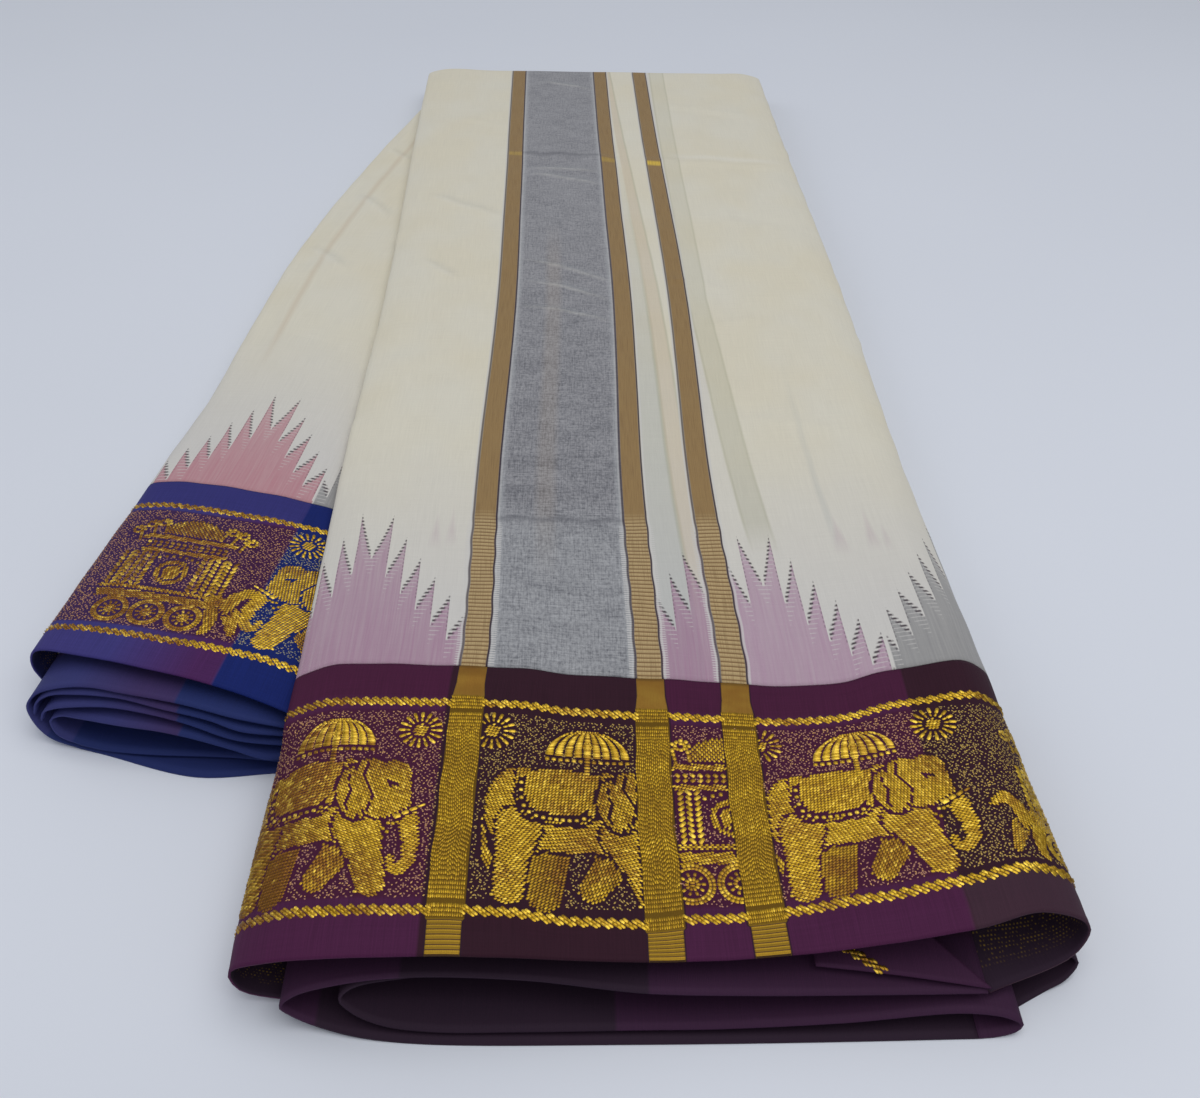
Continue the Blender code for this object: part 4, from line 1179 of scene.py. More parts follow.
def thread_mesh(name, grid, work, form, faces, seed):
    """One mesh of all the floats, each the form turned to its lay, a little uneven in lay, size and tone."""
    work, place, across, forward, up = sew_on(grid, work)
    chance = np.random.default_rng(seed)
    count = len(work.u)
    lay = np.radians(work.lay + chance.normal(0, UNEVEN["lay"], count))
    long = work.long * chance.uniform(*UNEVEN["long"], count)
    high = work.high * chance.uniform(*UNEVEN["high"], count)
    tone = work.tone * chance.normal(1.0, UNEVEN["tone"], count)
    a = (form[None, :, 0] * long[:, None])[..., None]
    b = (form[None, :, 1] * work.wide[:, None])[..., None]
    h = (form[None, :, 2] * (high[:, None] + FLOAT_SUNK) - FLOAT_SUNK)[..., None]
    ahead = (np.cos(lay)[:, None] * across + np.sin(lay)[:, None] * forward)[:, None]
    aside = (np.cos(lay)[:, None] * forward - np.sin(lay)[:, None] * across)[:, None]
    points = place[:, None] + a * ahead + b * aside + h * up[:, None]
    corners = (faces[None] + len(form) * np.arange(count)[:, None, None]).reshape(-1, 3)
    cloth = np.repeat(np.stack([work.u, work.v], axis=1), len(form), axis=0)
    return mesh_of(name, placed(points.reshape(-1, 3)), corners, cloth, np.repeat(tone, len(form)))


# ---- materials ----


def screen(red, green, blue):
    """A colour as a screen gives it, from 0 to 255, turned into the linear values that shaders use."""
    share = np.array([red, green, blue]) / 255
    linear = np.where(share <= 0.04045, share / 12.92, ((share + 0.055) / 1.055) ** 2.4)
    return tuple(float(x) for x in linear)


def plug(tree, slot, value):
    """Joins a field or a socket to a slot, or puts a plain number or a colour on it."""
    if isinstance(value, Field):
        value = value.socket
    if isinstance(value, bpy.types.NodeSocket):
        tree.links.new(value, slot)
    elif slot.type == "RGBA":
        slot.default_value = (*value, 1.0)
    else:
        slot.default_value = float(value)


def joining(operation):
    """A method that joins a field and another value by a math node."""
    return lambda self, other: self.math(operation, self, other)


def joining_after(operation):
    """The same with the field in the second place."""
    return lambda self, other: self.math(operation, other, self)


class Field:
    """A number at each point of a surface, which ordinary arithmetic turns into math nodes."""

    def __init__(self, tree, socket):
        self.tree, self.socket = tree, socket

    def math(self, operation, *values):
        """A math node over fields and plain numbers."""
        node = self.tree.nodes.new("ShaderNodeMath")
        node.operation = operation
        for slot, value in zip(node.inputs, values):
            plug(self.tree, slot, value)
        return Field(self.tree, node.outputs[0])

    __add__, __radd__ = joining("ADD"), joining_after("ADD")
    __sub__, __rsub__ = joining("SUBTRACT"), joining_after("SUBTRACT")
    __mul__, __rmul__ = joining("MULTIPLY"), joining_after("MULTIPLY")
    __truediv__, __pow__ = joining("DIVIDE"), joining("POWER")
    least, most = joining("MINIMUM"), joining("MAXIMUM")

    def size(self):
        """The number without its sign."""
        return self.math("ABSOLUTE", self)

    def floor(self):
        """The whole number at or below it."""
        return self.math("FLOOR", self)

    def share(self):
        """What is left over that whole number."""
        return self.math("FRACT", self)

    def wave(self, length):
        """The sine of a full turn for every length."""
        return self.math("SINE", self * (2 * math.pi / length))

    def above(self, edge, soft=0.2):
        """0 under the edge and 1 over it, changing over the soft width."""
        node = self.tree.nodes.new("ShaderNodeMapRange")
        for slot, value in zip(node.inputs, (self, edge + -soft, edge + soft, 0.0, 1.0)):
            plug(self.tree, slot, value)
        return Field(self.tree, node.outputs[0])

    def under(self, edge, soft=0.2):
        """1 under the edge and 0 over it."""
        return 1 - self.above(edge, soft)

    def between(self, low, high, soft=0.2):
        """1 from one edge to the other, and 0 outside them."""
        return self.above(low, soft) * self.under(high, soft)

    def near_zero(self, half, soft=0.2):
        """1 within a half width of zero."""
        return self.size().under(half, soft)


class Cloth:
    """A cloth material under way: its fields, the coats of colour so far, and the height of its threads.
    Its colours are given by their names in the settings."""

    def __init__(self, name, colours, ground):
        self.material = bpy.data.materials.new(name)
        self.material.use_nodes = True
        self.tree = self.material.node_tree
        self.shader = self.tree.nodes["Principled BSDF"]
        place = self.tree.nodes.new("ShaderNodeUVMap")
        place.uv_map = "cloth"
        parts = self.tree.nodes.new("ShaderNodeSeparateXYZ")
        self.tree.links.new(place.outputs[0], parts.inputs[0])
        self.u, self.v = (Field(self.tree, parts.outputs[k]) * (1 / MM) for k in (0, 1))
        self.colours = colours
        self.colour = getattr(colours, ground)
        self.metal = None

    def noise(self, across, along, detail=2.0, rough=0.6, shift=0.0):
        """Noise in cloth places, from 0 to 1, with so many grains a millimetre each way."""
        place = self.tree.nodes.new("ShaderNodeCombineXYZ")
        for slot, value in zip(place.inputs, (self.u * across, self.v * along, shift)):
            plug(self.tree, slot, value)
        node = self.tree.nodes.new("ShaderNodeTexNoise")
        node.inputs["Scale"].default_value = 1.0
        node.inputs["Detail"].default_value = detail
        node.inputs["Roughness"].default_value = rough
        self.tree.links.new(place.outputs[0], node.inputs["Vector"])
        return Field(self.tree, node.outputs[0])

    def coat(self, colour, mask, how="MIX"):
        """Lays a colour of the settings, or one from a socket, over what is there, where the mask is 1."""
        if isinstance(colour, str):
            colour = getattr(self.colours, colour)
        node = self.tree.nodes.new("ShaderNodeMix")
        node.data_type, node.blend_type = "RGBA", how
        for slot, value in ((0, mask), (6, self.colour), (7, colour)):
            plug(self.tree, node.inputs[slot], value)
        self.colour = node.outputs[2]

    def shade(self, field, low, high):
        """Darkens and lightens all the colours by a field from 0 to 1."""
        level = field * (high - low) + low
        grey = self.tree.nodes.new("ShaderNodeCombineXYZ")
        for slot in grey.inputs:
            plug(self.tree, slot, level)
        self.coat(grey.outputs[0], 1.0, "MULTIPLY")

    def finish(self, roughness, height, sheen=0.0, metal_rough=0.4, tint=None, gloss=0.25):
        """Joins the coats to the shader, and the height of the threads in millimetres to its bump."""
        shader = self.shader
        plug(self.tree, shader.inputs["Base Color"], self.colour)
        if self.metal is not None:
            plug(self.tree, shader.inputs["Metallic"], self.metal)
            roughness = self.metal * (metal_rough - roughness) + roughness
        plug(self.tree, shader.inputs["Roughness"], roughness)
        shader.inputs["Specular IOR Level"].default_value = gloss
        shader.inputs["Sheen Weight"].default_value = sheen
        shader.inputs["Sheen Roughness"].default_value = 0.5
        plug(self.tree, shader.inputs["Sheen Tint"], getattr(self.colours, tint) if tint else (1.0, 1.0, 1.0))
        bump = self.tree.nodes.new("ShaderNodeBump")
        bump.inputs["Strength"].default_value = 1.0
        bump.inputs["Distance"].default_value = MM
        plug(self.tree, bump.inputs["Height"], height)
        self.tree.links.new(bump.outputs[0], shader.inputs["Normal"])
        return self.material


YARN = 0.62  # from one yarn of the plain weave to the next
STRIPE_HALF = 4.4  # half width of a gold stripe in the body
RAISED_HALF = 5.5  # and over the border
PALE_END = 190.0  # how far the whiter zone with the temple spikes runs
TOOTH = 6.1  # width of one tooth of a temple spike
# A temple spike's tips and feet stand at these runs for the k-th tooth out: the first's, less k times the
# fall, and k squared times its easing more.
TIPS = (186.0, 14.0, 0.55)
FEET = (162.0, 10.5, 0.33)
# Temple spikes: their middle, where they begin and end across the cloth, their lift, and their colour.
Spike = namedtuple("Spike", "middle start end lift colour")
UPPER_SPIKES = (
    Spike(17.7, -40.0, 54.2, 0.0, "mauve"),
    Spike(147.6, 123.2, 142.3, -4.0, "mauve"),
    Spike(163.5, 151.8, 201.0, -9.0, "mauve_pale"),
    Spike(241.0, 201.5, 262.0, 3.0, "grey_end"),
)
LOWER_SPIKES = (
    Spike(37.0, -20.0, 68.0, -11.0, "pink"),
    Spike(103.0, 68.5, 140.0, -6.0, "grey_end"),
)
SPIKE_TEETH = 6.9  # how many teeth a spike has on each side of its middle
KNOT_PITCH = 2.2  # from one knot along a spike to the next
TOOTH_SLOPE = 4.2  # how much steeper than level a tooth's slanting side runs


def plain_weave(cloth, deep):
    """The height of a plain weave with slubs: two crossed waves, and thicker yarns here and there."""
    weave = cloth.u.wave(YARN) * cloth.v.wave(YARN) * (0.5 * deep)
    slub = cloth.noise(1.5, 0.05, 3.0) + cloth.noise(0.05, 1.5, 3.0, shift=7.0)
    return weave + slub * (1.6 * deep)


def spikes(cloth, each):
    """One temple spike: its filled part, and the knots and pale stitches along its stepped sides. A tooth's
    slanting side rises from its foot near the middle to its tip further out, where it drops straight."""
    away = (cloth.u - each.middle).size() * (1 / TOOTH)
    k, part = away.floor(), away.share()
    tip = k * k * TIPS[2] - k * TIPS[1] + (TIPS[0] + each.lift)
    foot = k * k * FEET[2] - k * FEET[1] + (FEET[0] + each.lift)
    ragged = cloth.noise(0.9, 0.35, 2.0, shift=3.0) * 3.0 - 1.5
    side = foot + (tip - foot) * part**1.2 + ragged
    steps = (side * (1 / KNOT_PITCH)).floor() * KNOT_PITCH
    there = cloth.u.between(each.start, each.end, 0.25) * away.under(SPIKE_TEETH, 0.02)
    fill = (cloth.v - steps).under(0.0, 0.5) * there
    beside = (cloth.v - side) * (1 / TOOTH_SLOPE)
    row = (cloth.v * (1 / KNOT_PITCH)).share()
    knots = beside.near_zero(0.5, 0.22) * part.above(0.10, 0.04) * row.between(0.22, 0.70, 0.12) * there
    stitches = beside.between(-2.6, -0.3, 0.3) * row.under(0.20, 0.08) * there
    drop = (part - 0.97).near_zero(0.05, 0.02)
    drop = drop * (cloth.v - foot).above(-4.0, 0.5) * (cloth.v - tip).under(0.0, 0.5)
    dashes = drop * row.under(0.55, 0.1) * there
    return fill, knots.most(dashes * 0.4), stitches


def cream_ground(cloth):
    """Cream yarn with faint slubs, warm clouds, and the whiter zone near the border."""
    cloth.coat("pale", cloth.v.under(PALE_END, 55.0) * 0.9)
    cloud = cloth.noise(0.02, 0.014, 2.0)
    cloth.coat("warm", cloud.above(0.50, 0.12) * cloth.v.above(PALE_END + 40, 60.0) * 0.45)


def temple_zone(cloth, table):
    """All the temple spikes of a sheet: the fill, streaked and fading away from the seam, then the pale
    stitches and the dark knots along its sides."""
    for each in table:
        fill, knots, stitches = spikes(cloth, each)
        streak = cloth.noise(1.3, 0.03, 2.0, shift=each.middle)
        fade = cloth.v.above(BORDER + 30, 60.0) * 0.25
        cloth.coat(each.colour, fill * (0.72 + streak * 0.4) - fade * fill)
        cloth.coat("pale", stitches * 0.55)
        cloth.coat("knot", knots * 0.92)


def yarn_tones(cloth):
    """Yarns a little darker and lighter than each other, both ways."""
    cloth.shade(cloth.noise(1.7, 0.05, 3.0, shift=2.0), 0.93, 1.07)
    cloth.shade(cloth.noise(0.05, 1.7, 3.0, shift=4.0), 0.95, 1.05)


def greatest_of(fields):
    """The fields together: the greatest of them at each place."""
    together = None
    for field in fields:
        together = field if together is None else together.most(field)
    return together


# What shows through the cream, across the cloth: bands by their edges, and lines by their middles.
SHOWN = dict(
    grey=(123.6, 135.4), grey_line=135.6, warm=(135.8, 142.6), warm_line=142.8, white=(151.5, 160.8),
    green=(161.0, 170.8), green_lines=(161.2, 170.8), narrow=(193.0, 195.5),
)
# Faint spikes that show through: place across, runs of tip and foot, and half width.
Ghost = namedtuple("Ghost", "u tip foot half")
GHOSTS = (
    Ghost(196.2, 187, 171, 2.6),
    Ghost(208.5, 190, 172, 2.2),
    Ghost(213.6, 180, 171, 1.2),
    Ghost(40.5, 187, 172, 2.0),
    Ghost(46.5, 190, 174, 1.8),
)


def show_through(cloth):
    """What the layers below lend to the cream: bands beside the stripes, whose edges slant a little across
    the strip, and faint spikes. Each is a soft step at its edges, over the runs where it shows."""
    u, v = cloth.u, cloth.v
    beyond = v - PALE_END
    left, right = u + beyond * 0.027, u + (v.most(230.0) - 230.0) * 0.036
    past = v.above(150, 20.0)
    grey = u.above(SHOWN["grey"][0], 0.6) * left.under(SHOWN["grey"][1], 0.6) * v.under(420, 160.0)
    cloth.coat("cool_shadow", grey * 0.36)
    line = (left - SHOWN["grey_line"]).near_zero(0.9, 0.5) * past * v.under(420, 120.0)
    cloth.coat("green_shadow", line * 0.4)
    warm = left.above(SHOWN["warm"][0], 0.5) * right.under(SHOWN["warm"][1], 0.5)
    cloth.coat("warm_shadow", warm * past * 0.34)
    line = (right - SHOWN["warm_line"]).near_zero(0.5, 0.4) * u.under(142.2) * past
    cloth.coat("green_shadow", line * 0.34)
    band = u + (v.least(370.0) - PALE_END) * 0.052 - (v.most(370.0) - 370.0) * 0.008
    there = v.above(178.0, 10.0)
    white = u.above(SHOWN["white"][0], 0.4) * band.under(SHOWN["white"][1], 0.6) * v.above(230, 60.0)
    cloth.coat("pale", white * 0.5)
    green = band.between(*SHOWN["green"], 0.5) * there * (0.27 - v.above(330, 120.0) * 0.12)
    cloth.coat("green_shadow", green)
    for edge in SHOWN["green_lines"]:
        cloth.coat("green_shadow", (band - edge).near_zero(0.5, 0.4) * there * 0.26)
    narrow = (u + beyond * 0.02).between(*SHOWN["narrow"], 0.8) * there * v.under(262, 50.0)
    cloth.coat("cool_shadow", narrow * 0.2)
    for each in GHOSTS:
        half = (each.tip - v) * (each.half / (each.tip - each.foot))
        spike = (half - (u - each.u).size()).above(0.0, 0.9) * v.above(each.foot, 5.0)
        cloth.coat("mauve", spike * 0.2)


SEAM_CREASE = 188.5  # run of a crease across the grey band, and of the far crease's crest and foot
FAR_CREST = 549
FAR_FOOT = 552
SHARP = 0.4  # least height of a crease that gets lines of painted highlight and shade
BOW_WAVE = 2.4  # length of a crease's bow as a wave, in lengths of the crease


def pressed_lines(cloth, creases):
    """Each sharper crease gets a painted highlight along its top and painted shade at its foot: two
    soft lines along its bow, which fade towards its ends and in patches."""
    # patches in which the painted crease highlight and shade show
    painted_light_mask = cloth.noise(0.16, 0.5, 3.0, shift=17.0).above(0.40, 0.22)
    for c in creases:
        if c.height < SHARP:
            continue
        along_u, along_v = c.u1 - c.u0, c.v1 - c.v0
        length = math.hypot(along_u, along_v)
        du, dv = cloth.u - c.u0, cloth.v - c.v0
        share = (du * along_u + dv * along_v) * length**-2
        bow = (du * along_v - dv * along_u) * (1 / length) + share.wave(BOW_WAVE) * (CREASE_BOW * length)
        ends = share.above(0.12, 0.16) * share.under(0.88, 0.16) * painted_light_mask
        # painted highlight along the crease's top
        cloth.coat("painted_crease_highlight", bow.near_zero(0.42 * c.width, 0.6 * c.width) * ends * 0.3)
        # painted shade at the crease's foot
        foot = (bow + 1.2 * c.width).near_zero(0.6 * c.width, 1.1 * c.width)
        cloth.coat("cool_shadow", foot * ends * 0.2)


def chambray_band(cloth, near):
    """The grey band between two stripes: dark flecks from four noises of unlike grain, paler near the border
    and along its edges, with a warmer streak, and painted shade and highlight along the creases across it."""
    u, v = cloth.u, cloth.v
    one, two, _ = STRIPES
    band = u.between(one + 4, two - 4, 0.25)
    cloth.coat("chambray", band)
    cloth.coat("chambray_pale", band * v.under(PALE_END, 12.0) * 0.56)
    mottle = cloth.noise(0.8, 0.55, 4.0, 0.75).above(0.52, 0.11)
    streaks = cloth.noise(0.12, 1.5, 3.0, 0.65, 5.0).above(0.52, 0.12)
    slubs = cloth.noise(1.9, 0.10, 3.0, 0.6, 9.0).above(0.54, 0.11)
    clouds = cloth.noise(0.05, 0.09, 3.0, 0.6, 13.0).above(0.52, 0.12)
    flecks = mottle * 0.42 + streaks * 0.34 + slubs * 0.30 + clouds * 0.16
    cloth.coat("chambray_dark", band * flecks * (1.12 - near * 0.2 - v.above(340, 160.0) * 0.34))
    edges = u.between(one + 4, one + 7, 1.0).most(u.between(two - 7, two - 4, 1.0))
    cloth.coat("chambray_pale", band * edges * 0.35)
    cloth.coat("warm_shadow", band * u.between(79, 86.5, 1.6) * v.between(175, 430, 26.0) * 0.12)
    # painted shade along a crease across the grey band
    crease = (v + u.wave(19.0) * 0.9 - SEAM_CREASE).near_zero(1.4, 1.2)
    cloth.coat("chambray_dark", band * crease * 0.5)
    pressed_lines(cloth, UPPER_CREASES)
    # painted shade at the foot of the far crease
    dent = (v + u.wave(23.0) * 0.8 + (u - 90) * 0.05 - FAR_FOOT).near_zero(1.5, 1.8)
    cloth.coat("chambray_dark", band * dent * 0.55)
    return band


def body_stripes(cloth, near, band):
    """The gold stripes of the body: a comb of pale yarn beside them near the border, a pale and a dark line
    along each edge, and satin inside, ribbed near the border, with a painted glint where a crease crosses it."""
    u, v = cloth.u, cloth.v
    one, two, three = STRIPES
    comb = (v * (1 / 1.15)).share().under(0.5, 0.15) * near
    for edge, way in ((one, -1), (one, 1), (two, -1), (two, 1), (three, -1)):
        beside = ((u - edge) * way).between(STRIPE_HALF, STRIPE_HALF + 2.4, 0.2)
        cloth.coat("pale", comb * beside * v.under(184, 4.0) * 0.75)
    parts = []
    for middle in STRIPES:
        off = u + v.wave(17.0) * near * 0.16 - middle
        beside = off.size().between(STRIPE_HALF + 0.6, STRIPE_HALF + 1.4, 0.2)
        cloth.coat("pale", beside * (0.7 - band * 0.45))
        cloth.coat("knot", off.between(STRIPE_HALF - 0.3, STRIPE_HALF + 0.45, 0.16) * 0.95)
        cloth.coat("knot", off.between(-STRIPE_HALF - 0.65, -STRIPE_HALF + 0.3, 0.2) * 0.8)
        parts.append(off.near_zero(STRIPE_HALF - 0.3, 0.14))
        cloth.coat("stripe", parts[-1])
    gold = greatest_of(parts)
    ribs = (v * (1 / 2.1)).share()
    cloth.coat("stripe_pale", gold * near * (0.45 + ribs.above(0.45, 0.15) * 0.45))
    cloth.coat("stripe_dark", gold * near * ribs.under(0.30, 0.1) * 0.85)
    # painted glint where the far crease crosses the stripes, brightest on the third
    cross = (v + (u - 90) * 0.15 - FAR_CREST).size()
    cloth.coat("glint", gold * cross.under(2.6, 1.2) * (0.3 + u.above(135.0, 1.0) * 0.6))
    satin = cloth.noise(3.0, 0.06, 2.0, shift=11.0)
    cloth.coat("stripe_dark", gold * satin.above(0.56, 0.1) * 0.4)
    return gold, ribs


def upper_body_cloth(colours):
    """Cream cotton with three gold weft stripes, a grey chambray band and temple spikes in mauve."""
    cloth = Cloth("cream cotton with gold stripes", colours, "cream")
    cream_ground(cloth)
    show_through(cloth)
    u, v = cloth.u, cloth.v
    near = v.under(PALE_END, 4.0)
    temple_zone(cloth, UPPER_SPIKES)
    band = chambray_band(cloth, near)
    # painted highlight along the crest of the far crease, right of the stripes
    crest = (v + (u - 190) * 0.17 - FAR_CREST).near_zero(2.2, 3.4)
    crest = crest * u.above(164, 9.0) * u.under(222, 7.0)
    cloth.coat("painted_crease_highlight", crest * 0.5)
    gold, ribs = body_stripes(cloth, near, band)
    cloth.metal = gold * 0.5
    yarn_tones(cloth)
    height = plain_weave(cloth, 0.05) + gold * (0.12 + ribs.wave(1.0) * near * 0.05)
    return cloth.finish(0.86, height, sheen=0.12, metal_rough=0.42)


def lower_body_cloth(colours):
    """Cream cotton with temple spikes in pink."""
    cloth = Cloth("cream cotton with pink spikes", colours, "cream")
    cream_ground(cloth)
    temple_zone(cloth, LOWER_SPIKES)
    # painted shade along a fold of the lower body
    fold = (cloth.u - 16).near_zero(1.5, 1.2) * cloth.v.above(220, 20.0)
    cloth.coat("warm_shadow", fold * 0.3)
    pressed_lines(cloth, LOWER_CREASES)
    yarn_tones(cloth)
    return cloth.finish(0.86, plain_weave(cloth, 0.05), sheen=0.12)


PANEL = (17.4, 84.4)  # where the brocade panel runs, in from the hem
ROPES = (13.6, 87.8)  # middles of the two gold ropes
HEM_RIBS = 10.8  # how far in from the hem the gold stripes are ribbed and flat
FLAT_FROM = 90.5  # where they are flat again, up to the seam
# Weft blocks of a border: from where to where across the cloth, and their colour.
Block = namedtuple("Block", "start end colour soft_start soft_end", defaults=(0.5, 0.5))
MAROON_BLOCKS = (Block(-60, 52, "purple"), Block(118.5, 202.6, "purple"))
BLUE_BLOCKS = (Block(-60, 68, "indigo"), Block(44, 68, "plum", 16, 0.5))


def weft_blocks(cloth, blocks, panel):
    """The weft blocks of a border, each with soft ends, and over them the panel's warp and the darker band
    between the panel and the seam."""
    u, v = cloth.u, cloth.v
    for each in blocks:
        there = u.above(each.start, each.soft_start) * u.under(each.end, each.soft_end)
        if each.colour == "plum":
            there = there * v.under(PANEL[1] + 2.0, 0.8)
        cloth.coat(each.colour, there)
    inner = greatest_of([u.between(each.start, each.end, 0.5) for each in blocks])
    cloth.coat(panel, inner * v.between(*PANEL, 0.6) * 0.75)
    cloth.coat("wine", inner * v.above(ROPES[1] + 2, 0.8) * (0.55 if panel == "wine" else 0.0))
    if panel == "wine_blue":
        cloth.coat("blue", inner * v.above(ROPES[1] + 2, 0.8) * 0.3)


def border_stripes(cloth, stripes):
    """The gold stripes that cross a border, each a little narrower towards the hem and the seam, with a dark
    line along both edges. Gives where they are, or nothing for a border without them."""
    u, v = cloth.u, cloth.v
    parts = []
    for middle in stripes:
        wide = RAISED_HALF - v.above(92, 4.0) * 0.9 - v.under(10.5, 0.5) * 0.7
        off = (u - middle).size()
        cloth.coat("knot", off.between(wide - 0.1, wide + 0.5, 0.14) * 0.8)
        parts.append(off.under(wide, 0.14))
        cloth.coat("gold_under", parts[-1])
    return greatest_of(parts)


def flat_gold(cloth, gold, ribs):
    """The stripes where no floats are raised: ribbed at the hem, and brown and uneven beside the seam."""
    v = cloth.v
    hem = v.under(HEM_RIBS, 0.4)
    cloth.coat("gold_flat", gold * hem)
    cloth.coat("knot", gold * hem * ribs.under(0.24, 0.08) * 0.85)
    top = v.above(FLAT_FROM, 0.5)
    cloth.coat("gold_flat", gold * top)
    brown = cloth.noise(0.09, 0.12, 2.0, shift=4.0).above(0.46, 0.14) * 0.35 + v.above(94.0, 8.0) * 0.3
    cloth.coat("stripe_dark", gold * top * 0.35)
    cloth.coat("copper", gold * top * brown)
    cloth.shade(cloth.noise(2.4, 0.08, 2.0, shift=6.0), 0.9, 1.1)
    cloth.metal = gold * 0.6
    return gold * (0.18 + ribs.wave(1.0) * v.under(HEM_RIBS, 0.4) * 0.1)


def border_cloth(name, colours, ground, blocks, stripes, panel="wine", painted_fill_share=0.0, painted_fill_colour="dusk"):
    """A border's satin: weft blocks of two colours, which the panel's warp turns redder and the band at the
    seam darker, with fine lines both ways, and the gold stripes that cross it."""
    cloth = Cloth(name, colours, ground)
    u, v = cloth.u, cloth.v
    weft_blocks(cloth, blocks, panel)
    cloth.shade(cloth.noise(1.9, 0.04, 2.0, shift=1.0), 0.74, 1.26)
    cloth.shade(cloth.noise(0.04, 1.9, 2.0, shift=8.0), 0.86, 1.14)
    # painted fill light: a share of a cool grey over everything, which lifts the shade of the loose folds and
    # the turned corner
    if painted_fill_share:
        cloth.coat(painted_fill_colour, painted_fill_share)
    elif stripes:
        # painted sheen at the right end of the hem: a little lighter and cooler
        painted_light_mask = u.above(202.6, 1.0) * v.under(ROPES[0], 1.5)
        cloth.coat("speck_rose", painted_light_mask * 0.05)
        cloth.coat("dusk_blue", painted_light_mask * 0.1)
    gold = border_stripes(cloth, stripes)
    ribs = (v * (1 / 1.45)).share()
    height = u.wave(0.5) * 0.012 + cloth.noise(1.8, 0.06, 3.0) * 0.05
    if gold is not None:
        height = height + flat_gold(cloth, gold, ribs)
    return cloth.finish(0.66, height, sheen=0.10, tint=ground, gloss=0.12)


def reverse_cloth(name, colours, ground):
    """The reverse of a border: dark satin with rows of tiny gold specks, each row half a step on from the
    last, in patches where the brocade's threads run."""
    across, along = 1.1, 0.9
    cloth = Cloth(name, colours, ground)
    # painted fill light: half a share of cool grey, which lifts the shade of the inner faces
    cloth.coat("dusk", 0.5)
    cloth.shade(cloth.noise(1.9, 0.04, 2.0), 0.8, 1.2)
    row = (cloth.v * (1 / along)).floor()
    u = (cloth.u + row * (0.5 * across)) * (1 / across)
    speck = u.share().between(0.25, 0.65, 0.15) * (cloth.v * (1 / along)).share().between(0.25, 0.6, 0.15)
    there = cloth.noise(0.6, 0.6, 3.0, shift=5.0).above(0.51, 0.04) * cloth.v.between(5.0, PANEL[1], 2.0)
    cloth.coat("gold", speck * there * 0.55)
    return cloth.finish(0.75, speck * there * 0.1, sheen=0.05, gloss=0.12)


def tone_of(cloth):
    """The tone that each float was given when it was laid."""
    node = cloth.tree.nodes.new("ShaderNodeAttribute")
    node.attribute_name = "tone"
    return Field(cloth.tree, node.outputs["Fac"])


def gold_thread(name, colours, painted_shade_to, bright=()):
    """Gold thread: each float has a tone of its own, and broad patches run from copper to bright yellow. Left
    of a place across the cloth it has painted shade in copper, and it has no patches on the bright stripes."""
    cloth = Cloth(name, colours, "gold")
    level = tone_of(cloth)
    patches = cloth.noise(0.045, 0.055, 2.0, shift=3.0).under(0.47, 0.07) * 0.5
    for middle in bright:
        patches = patches * (cloth.u - middle).size().above(RAISED_HALF + 0.8, 0.3)
    # painted shade: copper over the gold left of a place across the border, where less light falls
    painted_shade = cloth.u.under(painted_shade_to, 9.0) * 0.62
    cloth.coat("copper", (patches + painted_shade + level.under(0.86, 0.22) * 0.45).least(0.92))
    cloth.coat("glint", level.above(1.16, 0.16) * 0.6)
    cloth.shade(level * 0.5, 0.3, 1.7)
    cloth.shader.inputs["Metallic"].default_value = 0.85
    return cloth.finish(0.34, cloth.noise(4.0, 4.0, 2.0) * 0.05, gloss=0.4)


def speck_thread(name, colours, blocks, beyond):
    """Thin gold thread of the panel's ground, which lets the cloth's own colour through: rosy over the purple
    and plum blocks, and another tint past them."""
    cloth = Cloth(name, colours, beyond)
    cloth.coat("speck_rose", greatest_of([cloth.u.between(each.start, each.end, 1.0) for each in blocks]))
    cloth.coat("gold", tone_of(cloth).above(1.02, 0.12) * 0.35)
    cloth.shade(tone_of(cloth) * 0.5, 0.3, 1.7)
    cloth.shader.inputs["Metallic"].default_value = 0.4
    return cloth.finish(0.45, cloth.noise(4.0, 4.0, 2.0) * 0.05, gloss=0.3)


def layered_cloth(name, colours, ground):
    """The folded layers at a side: the border's colour as far as the seam, and cream beyond it, each layer a
    little unlike the next."""
    cloth = Cloth(name, colours, "cream")
    cloth.shade(cloth.noise(0.35, 0.012, 2.0), 0.86, 1.06)
    cloth.coat(ground, cloth.v.under(BORDER, 0.3))
    return cloth.finish(0.88, cloth.noise(0.6, 0.3, 3.0) * 0.12, sheen=0.08, gloss=0.15)


def table_top(colours):
    """A pale smooth table: faint clouds in its colour, and a low gloss that is a little uneven."""
    material = bpy.data.materials.new("pale table")
    material.use_nodes = True
    tree = material.node_tree
    shader = tree.nodes["Principled BSDF"]
    place = tree.nodes.new("ShaderNodeTexCoord")
    noise = tree.nodes.new("ShaderNodeTexNoise")
    noise.inputs["Scale"].default_value = 2.2
    tree.links.new(place.outputs["Object"], noise.inputs["Vector"])
    ramp = tree.nodes.new("ShaderNodeValToRGB")
    tree.links.new(noise.outputs[0], ramp.inputs[0])
    ramp.color_ramp.elements[0].color = (*(0.96 * x for x in colours.table), 1)
    ramp.color_ramp.elements[1].color = (*(1.04 * x for x in colours.table), 1)
    tree.links.new(ramp.outputs[0], shader.inputs["Base Color"])
    shader.inputs["Roughness"].default_value = 0.34
    shader.inputs["Specular IOR Level"].default_value = 0.4
    return material


# ---- what a user can change ----


